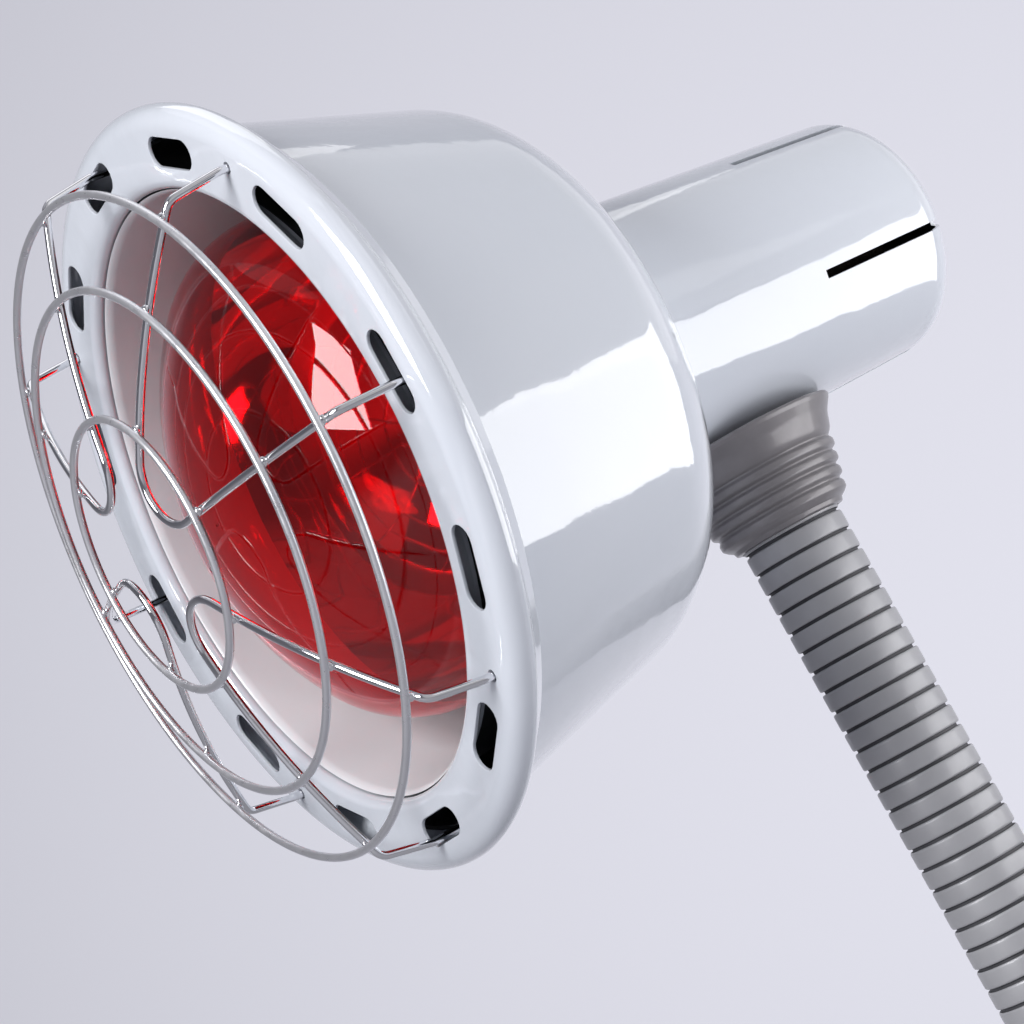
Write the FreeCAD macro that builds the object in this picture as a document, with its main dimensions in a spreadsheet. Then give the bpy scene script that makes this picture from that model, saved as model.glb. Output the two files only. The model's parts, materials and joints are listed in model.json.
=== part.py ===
import FreeCAD, Part
import math
import os
import re

import Sketcher
from FreeCAD import Placement, Rotation, Vector

# Infrared heat lamp head on a ribbed gooseneck.
# The neck stands on the shoulder of the stand nipple and rises along +Z; the lamp looks along -Y.
# Head parts are drawn in the head's own frame, with Z along the lamp axis towards the light and
# Y up, and are then turned into place. Z = 0 there is the flat front face of the bezel.

doc = FreeCAD.newDocument("HeatLamp")

# ---------------------------------------------------------------- driving dimensions, mm and degrees
DIMENSIONS = [
    ("LampHeight", 300.0, "lamp axis above the stand nipple's shoulder"),
    ("NeckSetback", 122.5, "neck axis behind the front face of the bezel"),
    ("SheetWall", 1.0, "sheet metal thickness"),
    ("FitGap", 0.05, "play between fixed parts that touch"),
    ("RimRadius", 95.0, "outer edge of the bezel"),
    ("RimRound", 3.5, "rounding of the outer edge"),
    ("RimTuck", 1.6, "inward lean of the edge before the skirt necks in"),
    ("MouthRadius", 75.8, "clear opening of the bezel"),
    ("MouthRound", 2.6, "rolled inner lip"),
    ("LipDepth", 6.0, "depth of the rolled inner lip"),
    ("SkirtDepth", 12.6, "front face to the back of the skirt"),
    ("SlotCount", 12, "cooling slots in the bezel"),
    ("SlotPitch", 84.7, "radius of the slot centres"),
    ("SlotLength", 19.4, "slot end to end"),
    ("SlotWidth", 7.0, "slot across"),
    ("ShellFront", 87.0, "shell radius at the bezel"),
    ("ShellTuck", 3.6, "length of shell inside the skirt"),
    ("ShoulderWide", 73.6, "shell radius where the shoulder starts"),
    ("ShoulderStart", 65.6, "depth where the shoulder starts"),
    ("ShoulderRadius", 28.0, "rounding of the shell's shoulder"),
    ("ShoulderEnd", 46.4, "radius where the shoulder meets the flat back"),
    ("ShellBack", 87.1, "depth of the shell's flat back"),
    ("CupFront", 36.0, "socket cup radius at the shell"),
    ("CupRear", 31.8, "socket cup radius at the rear rounding"),
    ("CupEnd", 192.0, "depth of the cup's rear face"),
    ("CupRound", 11.0, "rounding of the cup's rear edge"),
    ("CupFlange", 45.5, "radius of the cup's flange inside the shell"),
    ("RivetCount", 4, "rivets through reflector, cup and shell"),
    ("RivetPitch", 41.2, "radius of the rivet circle"),
    ("RivetRadius", 1.5, "rivet shank"),
    ("SlitCount", 5, "cooling slits in the cup"),
    ("SlitWidth", 2.2, "slit across"),
    ("SlitFront", 147.0, "depth where the slits start"),
    ("SlitInner", 24.0, "distance from the lamp axis where the slits end"),
    ("ReflectorFront", 75.4, "reflector radius behind the lip"),
    ("ReflectorLip", 3.2, "depth of the reflector's front edge"),
    ("ReflectorWaist", 72.9, "reflector radius at the end of its steep wall"),
    ("ReflectorDepth", 36.0, "depth at the end of its steep wall"),
    ("ReflectorRound", 66.8, "rounding behind the steep wall"),
    ("ReflectorBack", 46.0, "radius of the reflector's flat back"),
    ("ReflectorHole", 37.2, "opening for the bulb's neck"),
    ("ReflectorWall", 0.8, "reflector sheet"),
    ("BulbRadius", 62.5, "R125 reflector bulb, widest radius"),
    ("BulbWide", 24.0, "depth of the widest section"),
    ("BulbFace", 85.0, "curvature of the face"),
    ("BulbShoulder", 24.0, "rounding between face and side"),
    ("BulbFlank", 60.0, "curvature of the side behind the widest section"),
    ("FlankTurn", 48.6, "degrees turned by the side before it flares into the neck"),
    ("BulbWaist", 62.8, "hollow curvature between side and neck"),
    ("NeckTaper", 3.0, "taper of the bulb's neck in degrees"),
    ("GlassWall", 1.2, "glass thickness"),
    ("GlassNeck", 18.6, "radius of the glass neck before it closes on the cap"),
    ("GlassNeckEnd", 132.0, "depth where the neck starts to close"),
    ("CapRim", 13.6, "radius of the glass at the cap"),
    ("CapFront", 140.2, "depth of the cap's front edge"),
    ("ThreadValley", 12.4, "E27 thread root radius"),
    ("ThreadPitch", 3.62, "E27 thread pitch"),
    ("ThreadArc", 2.69, "rounding of the thread's crest"),
    ("ThreadTurns", 5, "turns of thread"),
    ("StemTop", 93.0, "depth of the glass stem's top inside the bulb"),
    ("BulbEnd", 167.0, "depth of the bulb's end contact"),
    ("HolderRadius", 22.0, "ceramic lampholder"),
    ("HolderFront", 141.0, "depth of the holder's front"),
    ("HolderBack", 175.0, "depth of the holder's back"),
    ("HolderFloor", 171.4, "depth of the holder's floor"),
    ("HolderBore", 14.6, "bore of the holder"),
    ("SocketScrewHalf", 6.9, "screws that hold the lampholder to its bracket"),
    ("BracketHalf", 15.0, "bracket screws from the lamp axis"),
    ("WireRadius", 1.0, "guard wire"),
    ("GuardClock", 2.0, "turn of the guard about the lamp axis"),
    ("DomeRadius", 207.0, "curvature of the guard's legs"),
    ("DomeTop", 32.2, "front of the guard's legs ahead of the bezel"),
    ("GuardOuter", 81.2, "radius of the outer guard ring"),
    ("GuardMiddle", 61.2, "radius of the middle guard ring"),
    ("GuardInner", 33.0, "radius of the inner guard ring"),
    ("LoopStart", 25.5, "radius where the hairpin loops start"),
    ("LegBend", 84.4, "radius of the bend at the edge of the dome"),
    ("LegFoot", 86.9, "radius where the guard's legs pass the bezel"),
    ("LegRise", 2.0, "straight part of the legs ahead of the bezel"),
    ("LegTail", 7.0, "length of the legs behind the bezel's face"),
    ("LegHole", 1.35, "radius of the guard wire holes"),
    ("NeckRadius", 13.3, "ribbed sleeve over its ribs"),
    ("SleeveBore", 11.9, "inside of the sleeve"),
    ("RibPitch", 5.49, "ribs of the sleeve"),
    ("RibCount", 38, "grooves of the sleeve"),
    ("RibGroove", 0.85, "depth of the grooves between the ribs"),
    ("GrooveWidth", 1.1, "width of the grooves between the ribs"),
    ("TopGroove", 61.0, "first groove below the lamp axis"),
    ("LinkRadius", 11.2, "core links of the gooseneck"),
    ("LinkNeck", 6.2, "neck between ball and link"),
    ("LinkShoulder", 8.6, "underside of a link above its ball's centre"),
    ("BallRadius", 9.0, "balls of the core links"),
    ("BallPlay", 0.06, "radial clearance of the balls"),
    ("BallFlat", 5.5, "flat underside below the ball's centre"),
    ("SocketLip", 3.0, "socket's lip above the ball's centre"),
    ("LinkPitch", 26.6, "distance between the core's joints"),
    ("FirstJoint", 40.3, "height of the lowest joint"),
    ("JointCount", 8, "joints of the gooseneck"),
    ("NippleRadius", 5.0, "M10 nipples"),
    ("NippleLength", 14.0, "stand nipple below the shoulder"),
    ("LeadBore", 3.6, "bore for the supply lead"),
    ("LeadRadius", 3.0, "supply lead"),
    ("BootTop", 33.8, "flat rim of the boot below the lamp's axis"),
    ("CoreRadius", 1.25, "single cores of the lead"),
    ("CollarRadius", 15.0, "lower ferrule"),
    ("CollarHeight", 28.6, "height of the lower ferrule"),
    ("CollarFloor", 4.0, "floor of the lower ferrule"),
]

dims = doc.addObject("Spreadsheet::Sheet", "Dims")
for row, (alias, number, note) in enumerate(DIMENSIONS, start=1):
    dims.set(f"A{row}", alias)
    dims.set(f"B{row}", str(number))
    dims.set(f"C{row}", note)
    dims.setAlias(f"B{row}", alias)
doc.recompute()

ALIASES = re.compile(r"\b(" + "|".join(alias for alias, _, _ in DIMENSIONS) + r")\b")
HEAD_TURN = Rotation(Vector(1, 0, 0), 90)
UP = Vector(0, 0, 1)
nodes = []


def val(formula):
    """Number given by a formula written with the sheet's aliases."""
    result = dims.evalExpression(str(formula))
    return float(getattr(result, "Value", result))


def linked(formula):
    """The same formula as the other objects of the document write it."""
    return ALIASES.sub(r"Dims.\1", str(formula))


def keep(item, label):
    """Names a finished sub-part and lists it for export."""
    item.Label = label
    nodes.append(item)
    return item


def put_on_head(item, depth="0", clock="0"):
    """Turns a part of the head's frame into place, clocked clockwise about the lamp axis."""
    item.Placement = Placement(Vector(0, 0, 0), HEAD_TURN * Rotation(UP, -val(clock)))
    item.setExpression("Placement.Base.y", linked(f"-NeckSetback + ({depth})"))
    item.setExpression("Placement.Base.z", linked("LampHeight"))
    return item


def put_on_neck(item, height):
    """Stands a part on the neck's axis at a height."""
    item.Placement = Placement(Vector(0, 0, val(height)), Rotation())
    item.setExpression("Placement.Base.z", linked(height))
    return item


# ---------------------------------------------------------------- sketches and turned bodies
def origin_feature(body, role):
    return next(f for f in body.Origin.OriginFeatures if f.Role == role)


def new_sketch(body, name, role="XZ_Plane", offset=None):
    sketch = body.newObject("Sketcher::SketchObject", name)
    sketch.AttachmentSupport = [(origin_feature(body, role), "")]
    sketch.MapMode = "FlatFace"
    if offset:
        sketch.setExpression("AttachmentOffset.Base.z", linked(offset))
    return sketch


def bind(sketch, kind, places, formula):
    """Adds a dimension to a sketch and binds it to the sheet."""
    number = sketch.addConstraint(Sketcher.Constraint(kind, *places, val(formula)))
    sketch.setExpression(f"Constraints[{number}]", linked(formula))


def short_arc(start, end, radius, side):
    """Short arc from start to end; side +1 bulges to the left of the way there, -1 to the right."""
    chord = end - start
    left = Vector(-chord.y, chord.x, 0).normalize()
    rise = math.sqrt(max(radius ** 2 - chord.Length ** 2 / 4.0, 0.0))
    centre = (start + end) * 0.5 - left * (rise * side)
    rays = (end - centre, start - centre) if side > 0 else (start - centre, end - centre)
    low, high = (math.atan2(ray.y, ray.x) for ray in rays)
    if high < low:
        high += 2 * math.pi
    return Part.ArcOfCircle(Part.Circle(centre, UP, radius), low, high)


def closed_outline(sketch, outline):
    """Draws a closed outline whose corners are formulas (x, y). A corner (x, y, radius, side) bends
    the edge that leaves it; a fifth entry "x" or "y" marks a half circle, whose centre shares
    that coordinate with the corner."""
    first = sketch.GeometryCount
    points = [Vector(val(c[0]), val(c[1]), 0) for c in outline]
    ends = []
    for i, corner in enumerate(outline):
        start, end = points[i], points[(i + 1) % len(points)]
        if len(corner) == 2:
            edge = Part.LineSegment(start, end)
        else:
            edge = short_arc(start, end, val(corner[2]), corner[3])
        sketch.addGeometry(edge, False)
        drawn = sketch.Geometry[first + i]
        forward = (drawn.StartPoint - start).Length < 1e-6
        ends.append((1, 2) if forward else (2, 1))
    for i, corner in enumerate(outline):
        edge, following = first + i, first + (i + 1) % len(points)
        head, tail = ends[i]
        next_head = ends[(i + 1) % len(points)][0]
        sketch.addConstraint(Sketcher.Constraint("Coincident", edge, tail, following, next_head))
        bind(sketch, "DistanceX", (edge, head), corner[0])
        bind(sketch, "DistanceY", (edge, head), corner[1])
        if len(corner) == 4:
            bind(sketch, "Radius", (edge,), corner[2])
        elif len(corner) == 5:
            axis = corner[4]
            bind(sketch, "Distance" + axis.upper(), (edge, 3), corner["xy".index(axis)])


def round_hole(sketch, x, y, radius):
    edge = sketch.GeometryCount
    sketch.addGeometry(Part.Circle(Vector(val(x), val(y), 0), UP, val(radius)), False)
    bind(sketch, "DistanceX", (edge, 3), x)
    bind(sketch, "DistanceY", (edge, 3), y)
    bind(sketch, "Radius", (edge,), radius)


def obround(sketch, y, length, width):
    """A slot with round ends, long along the sketch's x and centred on its y axis."""
    flat, half = f"(({length}) - ({width})) / 2", f"({width}) / 2"
    closed_outline(sketch, [
        (f"-{flat}", f"{y} - {half}"),
        (flat, f"{y} - {half}", half, -1, "x"),
        (flat, f"{y} + {half}"),
        (f"-{flat}", f"{y} + {half}", half, -1, "x"),
    ])


def turned(label, outline):
    """A body turned about its own Z axis; the outline's corners are (radius, height)."""
    body = doc.addObject("PartDesign::Body", label)
    sketch = new_sketch(body, label + "_outline")
    closed_outline(sketch, outline)
    turn = body.newObject("PartDesign::Revolution", label + "_turn")
    turn.Profile = sketch
    turn.ReferenceAxis = (sketch, ["V_Axis"])
    turn.Angle = 360.0
    doc.recompute()
    return keep(body, label)


def cut(body, sketch, depth, around=None, reverse=False):
    """Pockets a sketch into a body, and repeats the pocket round the body's Z axis."""
    before = body.Shape.Volume
    pocket = body.newObject("PartDesign::Pocket", sketch.Name + "_cut")
    pocket.Profile = sketch
    pocket.setExpression("Length", linked(depth))
    pocket.Reversed = reverse
    if around:
        ring = body.newObject("PartDesign::PolarPattern", sketch.Name + "_ring")
        ring.Originals = [pocket]
        ring.Axis = (origin_feature(body, "Z_Axis"), [""])
        ring.Angle = 360.0
        ring.setExpression("Occurrences", linked(around))
        body.Tip = ring
    doc.recompute()
    if body.Shape.Volume > before - 1.0:
        raise RuntimeError(f"{sketch.Name} removed nothing")


# ---------------------------------------------------------------- primitives and wires
def place(item, base, turn=Rotation()):
    item.Placement = Placement(Vector(*(val(b) for b in base)), turn)
    for axis, formula in zip("xyz", base):
        item.setExpression(f"Placement.Base.{axis}", linked(formula))
    return item


def rod(radius, height, base=("0", "0", "0"), turn=Rotation()):
    item = doc.addObject("Part::Cylinder", "rod")
    item.setExpression("Radius", linked(radius))
    item.setExpression("Height", linked(height))
    return place(item, base, turn)


def block(length, width, height, base):
    item = doc.addObject("Part::Box", "block")
    item.setExpression("Length", linked(length))
    item.setExpression("Width", linked(width))
    item.setExpression("Height", linked(height))
    return place(item, base)


def minus(base, *tools):
    for tool in tools:
        item = doc.addObject("Part::Cut", "cut")
        item.Base = base
        item.Tool = tool
        base = item
    return base


def plus(*items):
    item = doc.addObject("Part::MultiFuse", "fuse")
    item.Shapes = list(items)
    return item


def together(items):
    item = doc.addObject("Part::Compound", "set")
    item.Links = list(items)
    return item


def hexagon_prism(across_flats, height, base):
    item = doc.addObject("Part::Prism", "hexagon")
    item.Polygon = 6
    item.setExpression("Circumradius", linked(f"({across_flats}) / sqrt(3)"))
    item.setExpression("Height", linked(height))
    return place(item, base)


def bent_path(points, radii):
    """Straight runs between points, joined by tangent arcs of the given radii at the inner points."""
    edges, last = [], points[0]
    for before, corner, after, radius in zip(points, points[1:], points[2:], radii):
        back = (before - corner).normalize()
        ahead = (after - corner).normalize()
        half = back.getAngle(ahead) / 2.0
        start = corner + back * (radius / math.tan(half))
        end = corner + ahead * (radius / math.tan(half))
        middle = corner + (back + ahead).normalize() * (radius / math.sin(half) - radius)
        edges.append(Part.LineSegment(last, start).toShape())
        edges.append(Part.Arc(start, middle, end).toShape())
        last = end
    if (points[-1] - last).Length > 1e-3:
        edges.append(Part.LineSegment(last, points[-1]).toShape())
    return edges


def wire_along(edges, radius):
    """A round wire along a smooth chain of edges."""
    path = Part.Wire(edges)
    first = path.OrderedEdges[0]
    start = path.OrderedVertexes[0].Point
    at_start = (first.valueAt(first.FirstParameter) - start).Length < 1e-6
    along = first.tangentAt(first.FirstParameter if at_start else first.LastParameter)
    section = Part.Wire([Part.Circle(start, along, radius).toShape()])
    solid = path.makePipeShell([section], True, True)
    expected = math.pi * radius ** 2 * path.Length
    if abs(solid.Volume - expected) > 0.03 * expected:
        raise RuntimeError(f"wire volume {solid.Volume:.1f}, expected {expected:.1f}")
    return solid


def shaped(label, shape):
    """A free-form sub-part, worked out from the sheet's values."""
    item = doc.addObject("Part::Feature", label)
    item.Shape = shape
    return keep(item, label)


# ---------------------------------------------------------------- bezel, shell, cup and reflector
def make_bezel():
    """Front ring: rolled lip, slotted flat face, rounded edge, and a skirt that necks in to the shell."""
    bend, tucked = "RimRound * 2", "RimRadius - RimTuck"
    body = turned("bezel_ring", [
        ("MouthRadius", "-LipDepth"),
        ("MouthRadius", "-MouthRound", "MouthRound", 1),
        ("MouthRadius + MouthRound", "0"),
        ("RimRadius - RimRound", "0", "RimRound", 1),
        ("RimRadius", "-RimRound", bend, 1),
        (tucked, "-RimRound - 4", bend, -1),
        ("ShellFront + 1.2", "-SkirtDepth"),
        ("ShellFront + 0.1", "-SkirtDepth"),
        ("ShellFront + 0.1", "-SkirtDepth + 0.9", bend, 1),
        (f"{tucked} - SheetWall", "-RimRound - 3.8", bend, -1),
        ("RimRadius - SheetWall", "-RimRound", "RimRound - SheetWall", -1),
        ("RimRadius - RimRound", "-SheetWall"),
        ("MouthRadius + MouthRound", "-SheetWall", "MouthRound - SheetWall", -1),
        ("MouthRadius + SheetWall", "-MouthRound"),
        ("MouthRadius + SheetWall", "-LipDepth"),
    ])
    slot = new_sketch(body, "cooling_slot", "XY_Plane")
    obround(slot, "SlotPitch", "SlotLength", "SlotWidth")
    cut(body, slot, "SheetWall * 2", around="SlotCount")
    hole = new_sketch(body, "leg_hole", "XY_Plane")
    clocked = "((45 - GuardClock) * 1 deg)"
    round_hole(hole, f"LegFoot * cos{clocked}", f"LegFoot * sin{clocked}", "LegHole")
    cut(body, hole, "SheetWall * 2", around="RivetCount")
    return put_on_head(body)


def make_bezel_clips():
    """Angle clips that join the bezel's face to the front of the shell, hidden between slots."""
    clips = []
    for k in range(4):
        inner = "ShellFront - SheetWall - 1.25"
        foot = block("1", "10", "3", (inner, "-5", "-SkirtDepth + 0.1"))
        riser = block("1", "10", "SkirtDepth - 2.4 - 1.1", (inner, "-5", "-SkirtDepth + 2.4"))
        face = block("4", "10", "1", (f"{inner} - 3", "-5", "-SheetWall - 1.1"))
        clip = plus(foot, riser, face)
        clip.Placement = Placement(Vector(0, 0, 0), Rotation(UP, 15 + 90 * k))
        clips.append(clip)
    return put_on_head(keep(together(clips), "bezel_clips"))


def make_shell():
    """Spun shell: a cone behind the bezel, a round shoulder and a flat back around the cup."""
    back, inside = "-ShellBack + SheetWall", "SheetWall"
    body = turned("outer_shell", [
        ("ShellFront", "-SkirtDepth + ShellTuck"),
        (f"ShellFront - {inside}", "-SkirtDepth + ShellTuck"),
        (f"ShellFront - {inside}", "-SkirtDepth + 0.1"),
        (f"ShoulderWide - {inside}", "-ShoulderStart + 0.2", "ShoulderRadius - SheetWall", 1),
        ("ShoulderEnd", back),
        ("CupFront + 0.3", back),
        ("CupFront + 0.3", "-ShellBack"),
        ("ShoulderEnd", "-ShellBack", "ShoulderRadius", -1),
        ("ShoulderWide", "-ShoulderStart"),
        ("ShellFront", "-SkirtDepth"),
    ])
    rivet = new_sketch(body, "shell_rivet_hole", "XY_Plane", "-ShellBack + SheetWall * 2")
    round_hole(rivet, "RivetPitch", "0", "RivetRadius + FitGap")
    cut(body, rivet, "SheetWall * 3", around="RivetCount")
    return put_on_head(body)


def make_cup():
    """Tapered socket cup with a flange inside the shell, a rounded rear edge and cooling slits."""
    top, wall = "-ShellBack + SheetWall + FitGap", "SheetWall"
    body = turned("socket_cup", [
        ("CupFront - SheetWall", f"{top} + {wall}"),
        ("CupFlange", f"{top} + {wall}"),
        ("CupFlange", top),
        ("CupFront", top),
        ("CupRear", "-CupEnd + CupRound", "CupRound", 1),
        ("CupRear - CupRound", "-CupEnd"),
        ("0", "-CupEnd"),
        ("0", "-CupEnd + SheetWall"),
        ("CupRear - CupRound", "-CupEnd + SheetWall", "CupRound - SheetWall", -1),
        ("CupRear - SheetWall", "-CupEnd + CupRound"),
    ])
    rivet = new_sketch(body, "cup_rivet_hole", "XY_Plane", "-ShellBack + SheetWall * 3")
    round_hole(rivet, "RivetPitch", "0", "RivetRadius + FitGap")
    cut(body, rivet, "SheetWall * 3", around="RivetCount")
    slit = new_sketch(body, "cooling_slit", "XZ_Plane", "CupFront + 4")
    closed_outline(slit, [
        ("-SlitWidth / 2", "-CupEnd - 2"),
        ("SlitWidth / 2", "-CupEnd - 2"),
        ("SlitWidth / 2", "-SlitFront", "SlitWidth / 2", -1, "y"),
        ("-SlitWidth / 2", "-SlitFront"),
    ])
    cut(body, slit, "CupFront + 4 - SlitInner", around="SlitCount")
    neck_hole = new_sketch(body, "neck_hole", "XZ_Plane", "CupFront + 4")
    round_hole(neck_hole, "0", "-NeckSetback", "NippleRadius + 0.1")
    cut(body, neck_hole, "16")
    screw_hole = new_sketch(body, "bracket_hole", "XY_Plane", "-CupEnd + SheetWall * 2")
    round_hole(screw_hole, "BracketHalf", "0", "1.6")
    cut(body, screw_hole, "SheetWall * 3", around="2")
    return put_on_head(body)


def make_reflector():
    """White inner funnel: steep wall behind the lip, then rounded in to a flat back around the bulb."""
    back = "-ShellBack + SheetWall * 2 + FitGap * 2"
    wall = "ReflectorWall"
    body = turned("inner_reflector", [
        ("ReflectorFront", "-ReflectorLip"),
        (f"ReflectorFront - {wall}", "-ReflectorLip"),
        (f"ReflectorWaist - {wall}", "-ReflectorDepth", f"ReflectorRound - {wall}", 1),
        (f"ReflectorBack", f"{back} + {wall}"),
        ("ReflectorHole", f"{back} + {wall}"),
        ("ReflectorHole", back),
        ("ReflectorBack", back, "ReflectorRound", -1),
        ("ReflectorWaist", "-ReflectorDepth"),
    ])
    rivet = new_sketch(body, "reflector_rivet_hole", "XY_Plane", f"{back} + 3")
    round_hole(rivet, "RivetPitch", "0", "RivetRadius + FitGap")
    cut(body, rivet, "4", around="RivetCount")
    return put_on_head(body)


def make_rivets():
    """Rivets through the reflector, the cup's flange and the shell's back."""
    rivets = []
    front = "-ShellBack + SheetWall * 2 + FitGap * 2 + ReflectorWall"
    grip = "SheetWall * 2 + FitGap * 2 + ReflectorWall"
    for k in range(int(val("RivetCount"))):
        shank = rod("RivetRadius", grip, ("RivetPitch", "0", "-ShellBack"))
        inner = rod("RivetRadius * 1.7", "1.1", ("RivetPitch", "0", f"{front} + FitGap"))
        link = rod("RivetRadius", "1", ("RivetPitch", "0", front))
        outer = rod("RivetRadius * 1.7", "1.1", ("RivetPitch", "0", "-ShellBack - FitGap - 1.1"))
        tail = rod("RivetRadius", "1", ("RivetPitch", "0", "-ShellBack - 1"))
        rivet = plus(shank, inner, link, outer, tail)
        rivet.Placement = Placement(Vector(0, 0, 0), Rotation(UP, 360.0 / val("RivetCount") * k))
        rivets.append(rivet)
    return put_on_head(keep(together(rivets), "shell_rivets"))


# ---------------------------------------------------------------- bulb
def face_corner(inset):
    """Where the bulb's face meets the rounding to its side, for a surface inset from the outside."""
    across, reach = "(BulbRadius - BulbShoulder)", "(BulbFace - BulbShoulder)"
    rise = f"sqrt({reach}^2 - {across}^2)"
    return (f"(BulbFace - {inset}) * {across} / {reach}",
            f"-BulbWide - {rise} + (BulbFace - {inset}) * {rise} / {reach}")


def face_top(inset):
    dome = "sqrt((BulbFace - BulbShoulder)^2 - (BulbRadius - BulbShoulder)^2)"
    return f"-BulbWide - {dome} + BulbFace - {inset}"


def flank_end(inset):
    """Where the bulb's side turns into the hollow curve of its neck."""
    reach = f"(BulbFlank - {inset})"
    return (f"BulbRadius - BulbFlank + {reach} * cos(FlankTurn * 1 deg)",
            f"-BulbWide - {reach} * sin(FlankTurn * 1 deg)")


def neck_start(inset):
    """Where the hollow curve runs out into the tapered neck."""
    reach, waist = "(BulbFlank + BulbWaist)", f"(BulbWaist + {inset})"
    return (f"BulbRadius - BulbFlank + {reach} * cos(FlankTurn * 1 deg) - {waist} * cos(NeckTaper * 1 deg)",
            f"-BulbWide - {reach} * sin(FlankTurn * 1 deg) + {waist} * sin(NeckTaper * 1 deg)")


def make_bulb_glass():
    """R125 envelope: domed face, rounded side, hollow flare and a neck that closes on the cap."""
    inset = "GlassWall"
    body = turned("bulb_glass", [
        ("0", face_top("0"), "BulbFace", 1),
        (*face_corner("0"), "BulbShoulder", 1),
        ("BulbRadius", "-BulbWide", "BulbFlank", 1),
        (*flank_end("0"), "BulbWaist", -1),
        neck_start("0"),
        ("GlassNeck", "-GlassNeckEnd", "9", 1),
        ("CapRim", "-CapFront"),
        (f"CapRim - {inset}", "-CapFront"),
        (f"CapRim - {inset}", "-CapFront + 1", "8", -1),
        (f"GlassNeck - {inset}", "-GlassNeckEnd"),
        (*neck_start(inset), f"BulbWaist + {inset}", 1),
        (*flank_end(inset), f"BulbFlank - {inset}", -1),
        (f"BulbRadius - {inset}", "-BulbWide", f"BulbShoulder - {inset}", -1),
        (*face_corner(inset), f"BulbFace - {inset}", -1),
        ("0", face_top(inset)),
    ])
    return put_on_head(body)


def make_bulb_mirror():
    """Aluminised film inside the bulb, behind its widest section."""
    outer, inner = "(GlassWall + 0.04)", "(GlassWall + 0.2)"
    body = turned("bulb_mirror", [
        (f"BulbRadius - {outer}", "-BulbWide", f"BulbFlank - {outer}", 1),
        (*flank_end(outer), f"BulbWaist + {outer}", -1),
        neck_start(outer),
        neck_start(inner)[:1] + (neck_start(inner)[1], f"BulbWaist + {inner}", 1),
        (*flank_end(inner), f"BulbFlank - {inner}", -1),
        (f"BulbRadius - {inner}", "-BulbWide"),
    ])
    return put_on_head(body)


def thread(radius, start, side):
    """Crests of a rolled thread as ring waves, from the start depth down (side 1) or up (side -1)."""
    corners = []
    for k in range(int(val("ThreadTurns"))):
        steps = k if side > 0 else int(val("ThreadTurns")) - k
        corners.append((radius, f"{start} - ThreadPitch * {steps}", "ThreadArc", side))
    return corners


def make_bulb_base():
    """E27 cap, its glass insulator and the end contact."""
    top = "-CapFront - 2.6"
    cap = turned("bulb_cap", [
        ("CapRim + 0.7", "-CapFront - FitGap"),
        ("CapRim + 0.7", "-CapFront - 1.4"),
        *thread("ThreadValley", top, 1),
        ("ThreadValley", f"{top} - ThreadPitch * ThreadTurns"),
        ("9.2", "-BulbEnd + 5"),
        ("8.6", "-BulbEnd + 5"),
        ("ThreadValley - 0.7", f"{top} - ThreadPitch * ThreadTurns + 0.3"),
        ("ThreadValley - 0.7", f"{top} - 0.4"),
        ("CapRim", "-CapFront - 1"),
        ("CapRim", "-CapFront - FitGap"),
    ])
    put_on_head(cap)
    insulator = turned("bulb_insulator", [
        ("0", "-BulbEnd + 4.9"),
        ("9.1", "-BulbEnd + 4.9"),
        ("5.2", "-BulbEnd + 1.4"),
        ("0", "-BulbEnd + 1.4"),
    ])
    put_on_head(insulator)
    tip = turned("bulb_tip_contact", [
        ("0", "-BulbEnd + 1.35"),
        ("4.6", "-BulbEnd + 1.35"),
        ("4.6", "-BulbEnd + 0.9", "6", 1),
        ("0", "-BulbEnd"),
    ])
    put_on_head(tip)


def splayed_rod(radius, turn):
    """A thin wire from the top of the bulb's stem out to the filament."""
    base = (f"1.7 * cos({turn} deg)", f"1.7 * sin({turn} deg)", "-StemTop + 0.1")
    return rod(radius, "26", base, Rotation(UP, turn) * Rotation(Vector(0, 1, 0), 26.5))


def make_bulb_inside():
    """Glass stem, filament with its supports, and the two lead-in wires."""
    stem = turned("bulb_stem", [
        ("0", "-StemTop"),
        ("2.6", "-StemTop"),
        ("2.6", "-StemTop - 22"),
        ("3.4", "-StemTop - 34", "14", -1),
        ("CapRim - GlassWall - 0.1", "-CapFront + 0.4"),
        ("0", "-CapFront + 0.4"),
    ])
    put_on_head(stem)
    filament = doc.addObject("Part::Torus", "coil")
    filament.setExpression("Radius1", linked("14"))
    filament.setExpression("Radius2", linked("0.7"))
    filament.Angle3 = 290
    place(filament, ("0", "0", "-StemTop + 24"), Rotation(UP, 125))
    holder = together([filament])
    put_on_head(keep(holder, "filament"))
    supports = [splayed_rod("0.3", turn) for turn in (150, 270, 30)]
    put_on_head(keep(together(supports), "filament_supports"))
    leads = [splayed_rod("0.5", turn) for turn in (113, 67)]
    put_on_head(keep(together(leads), "lead_in_wires"))


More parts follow.
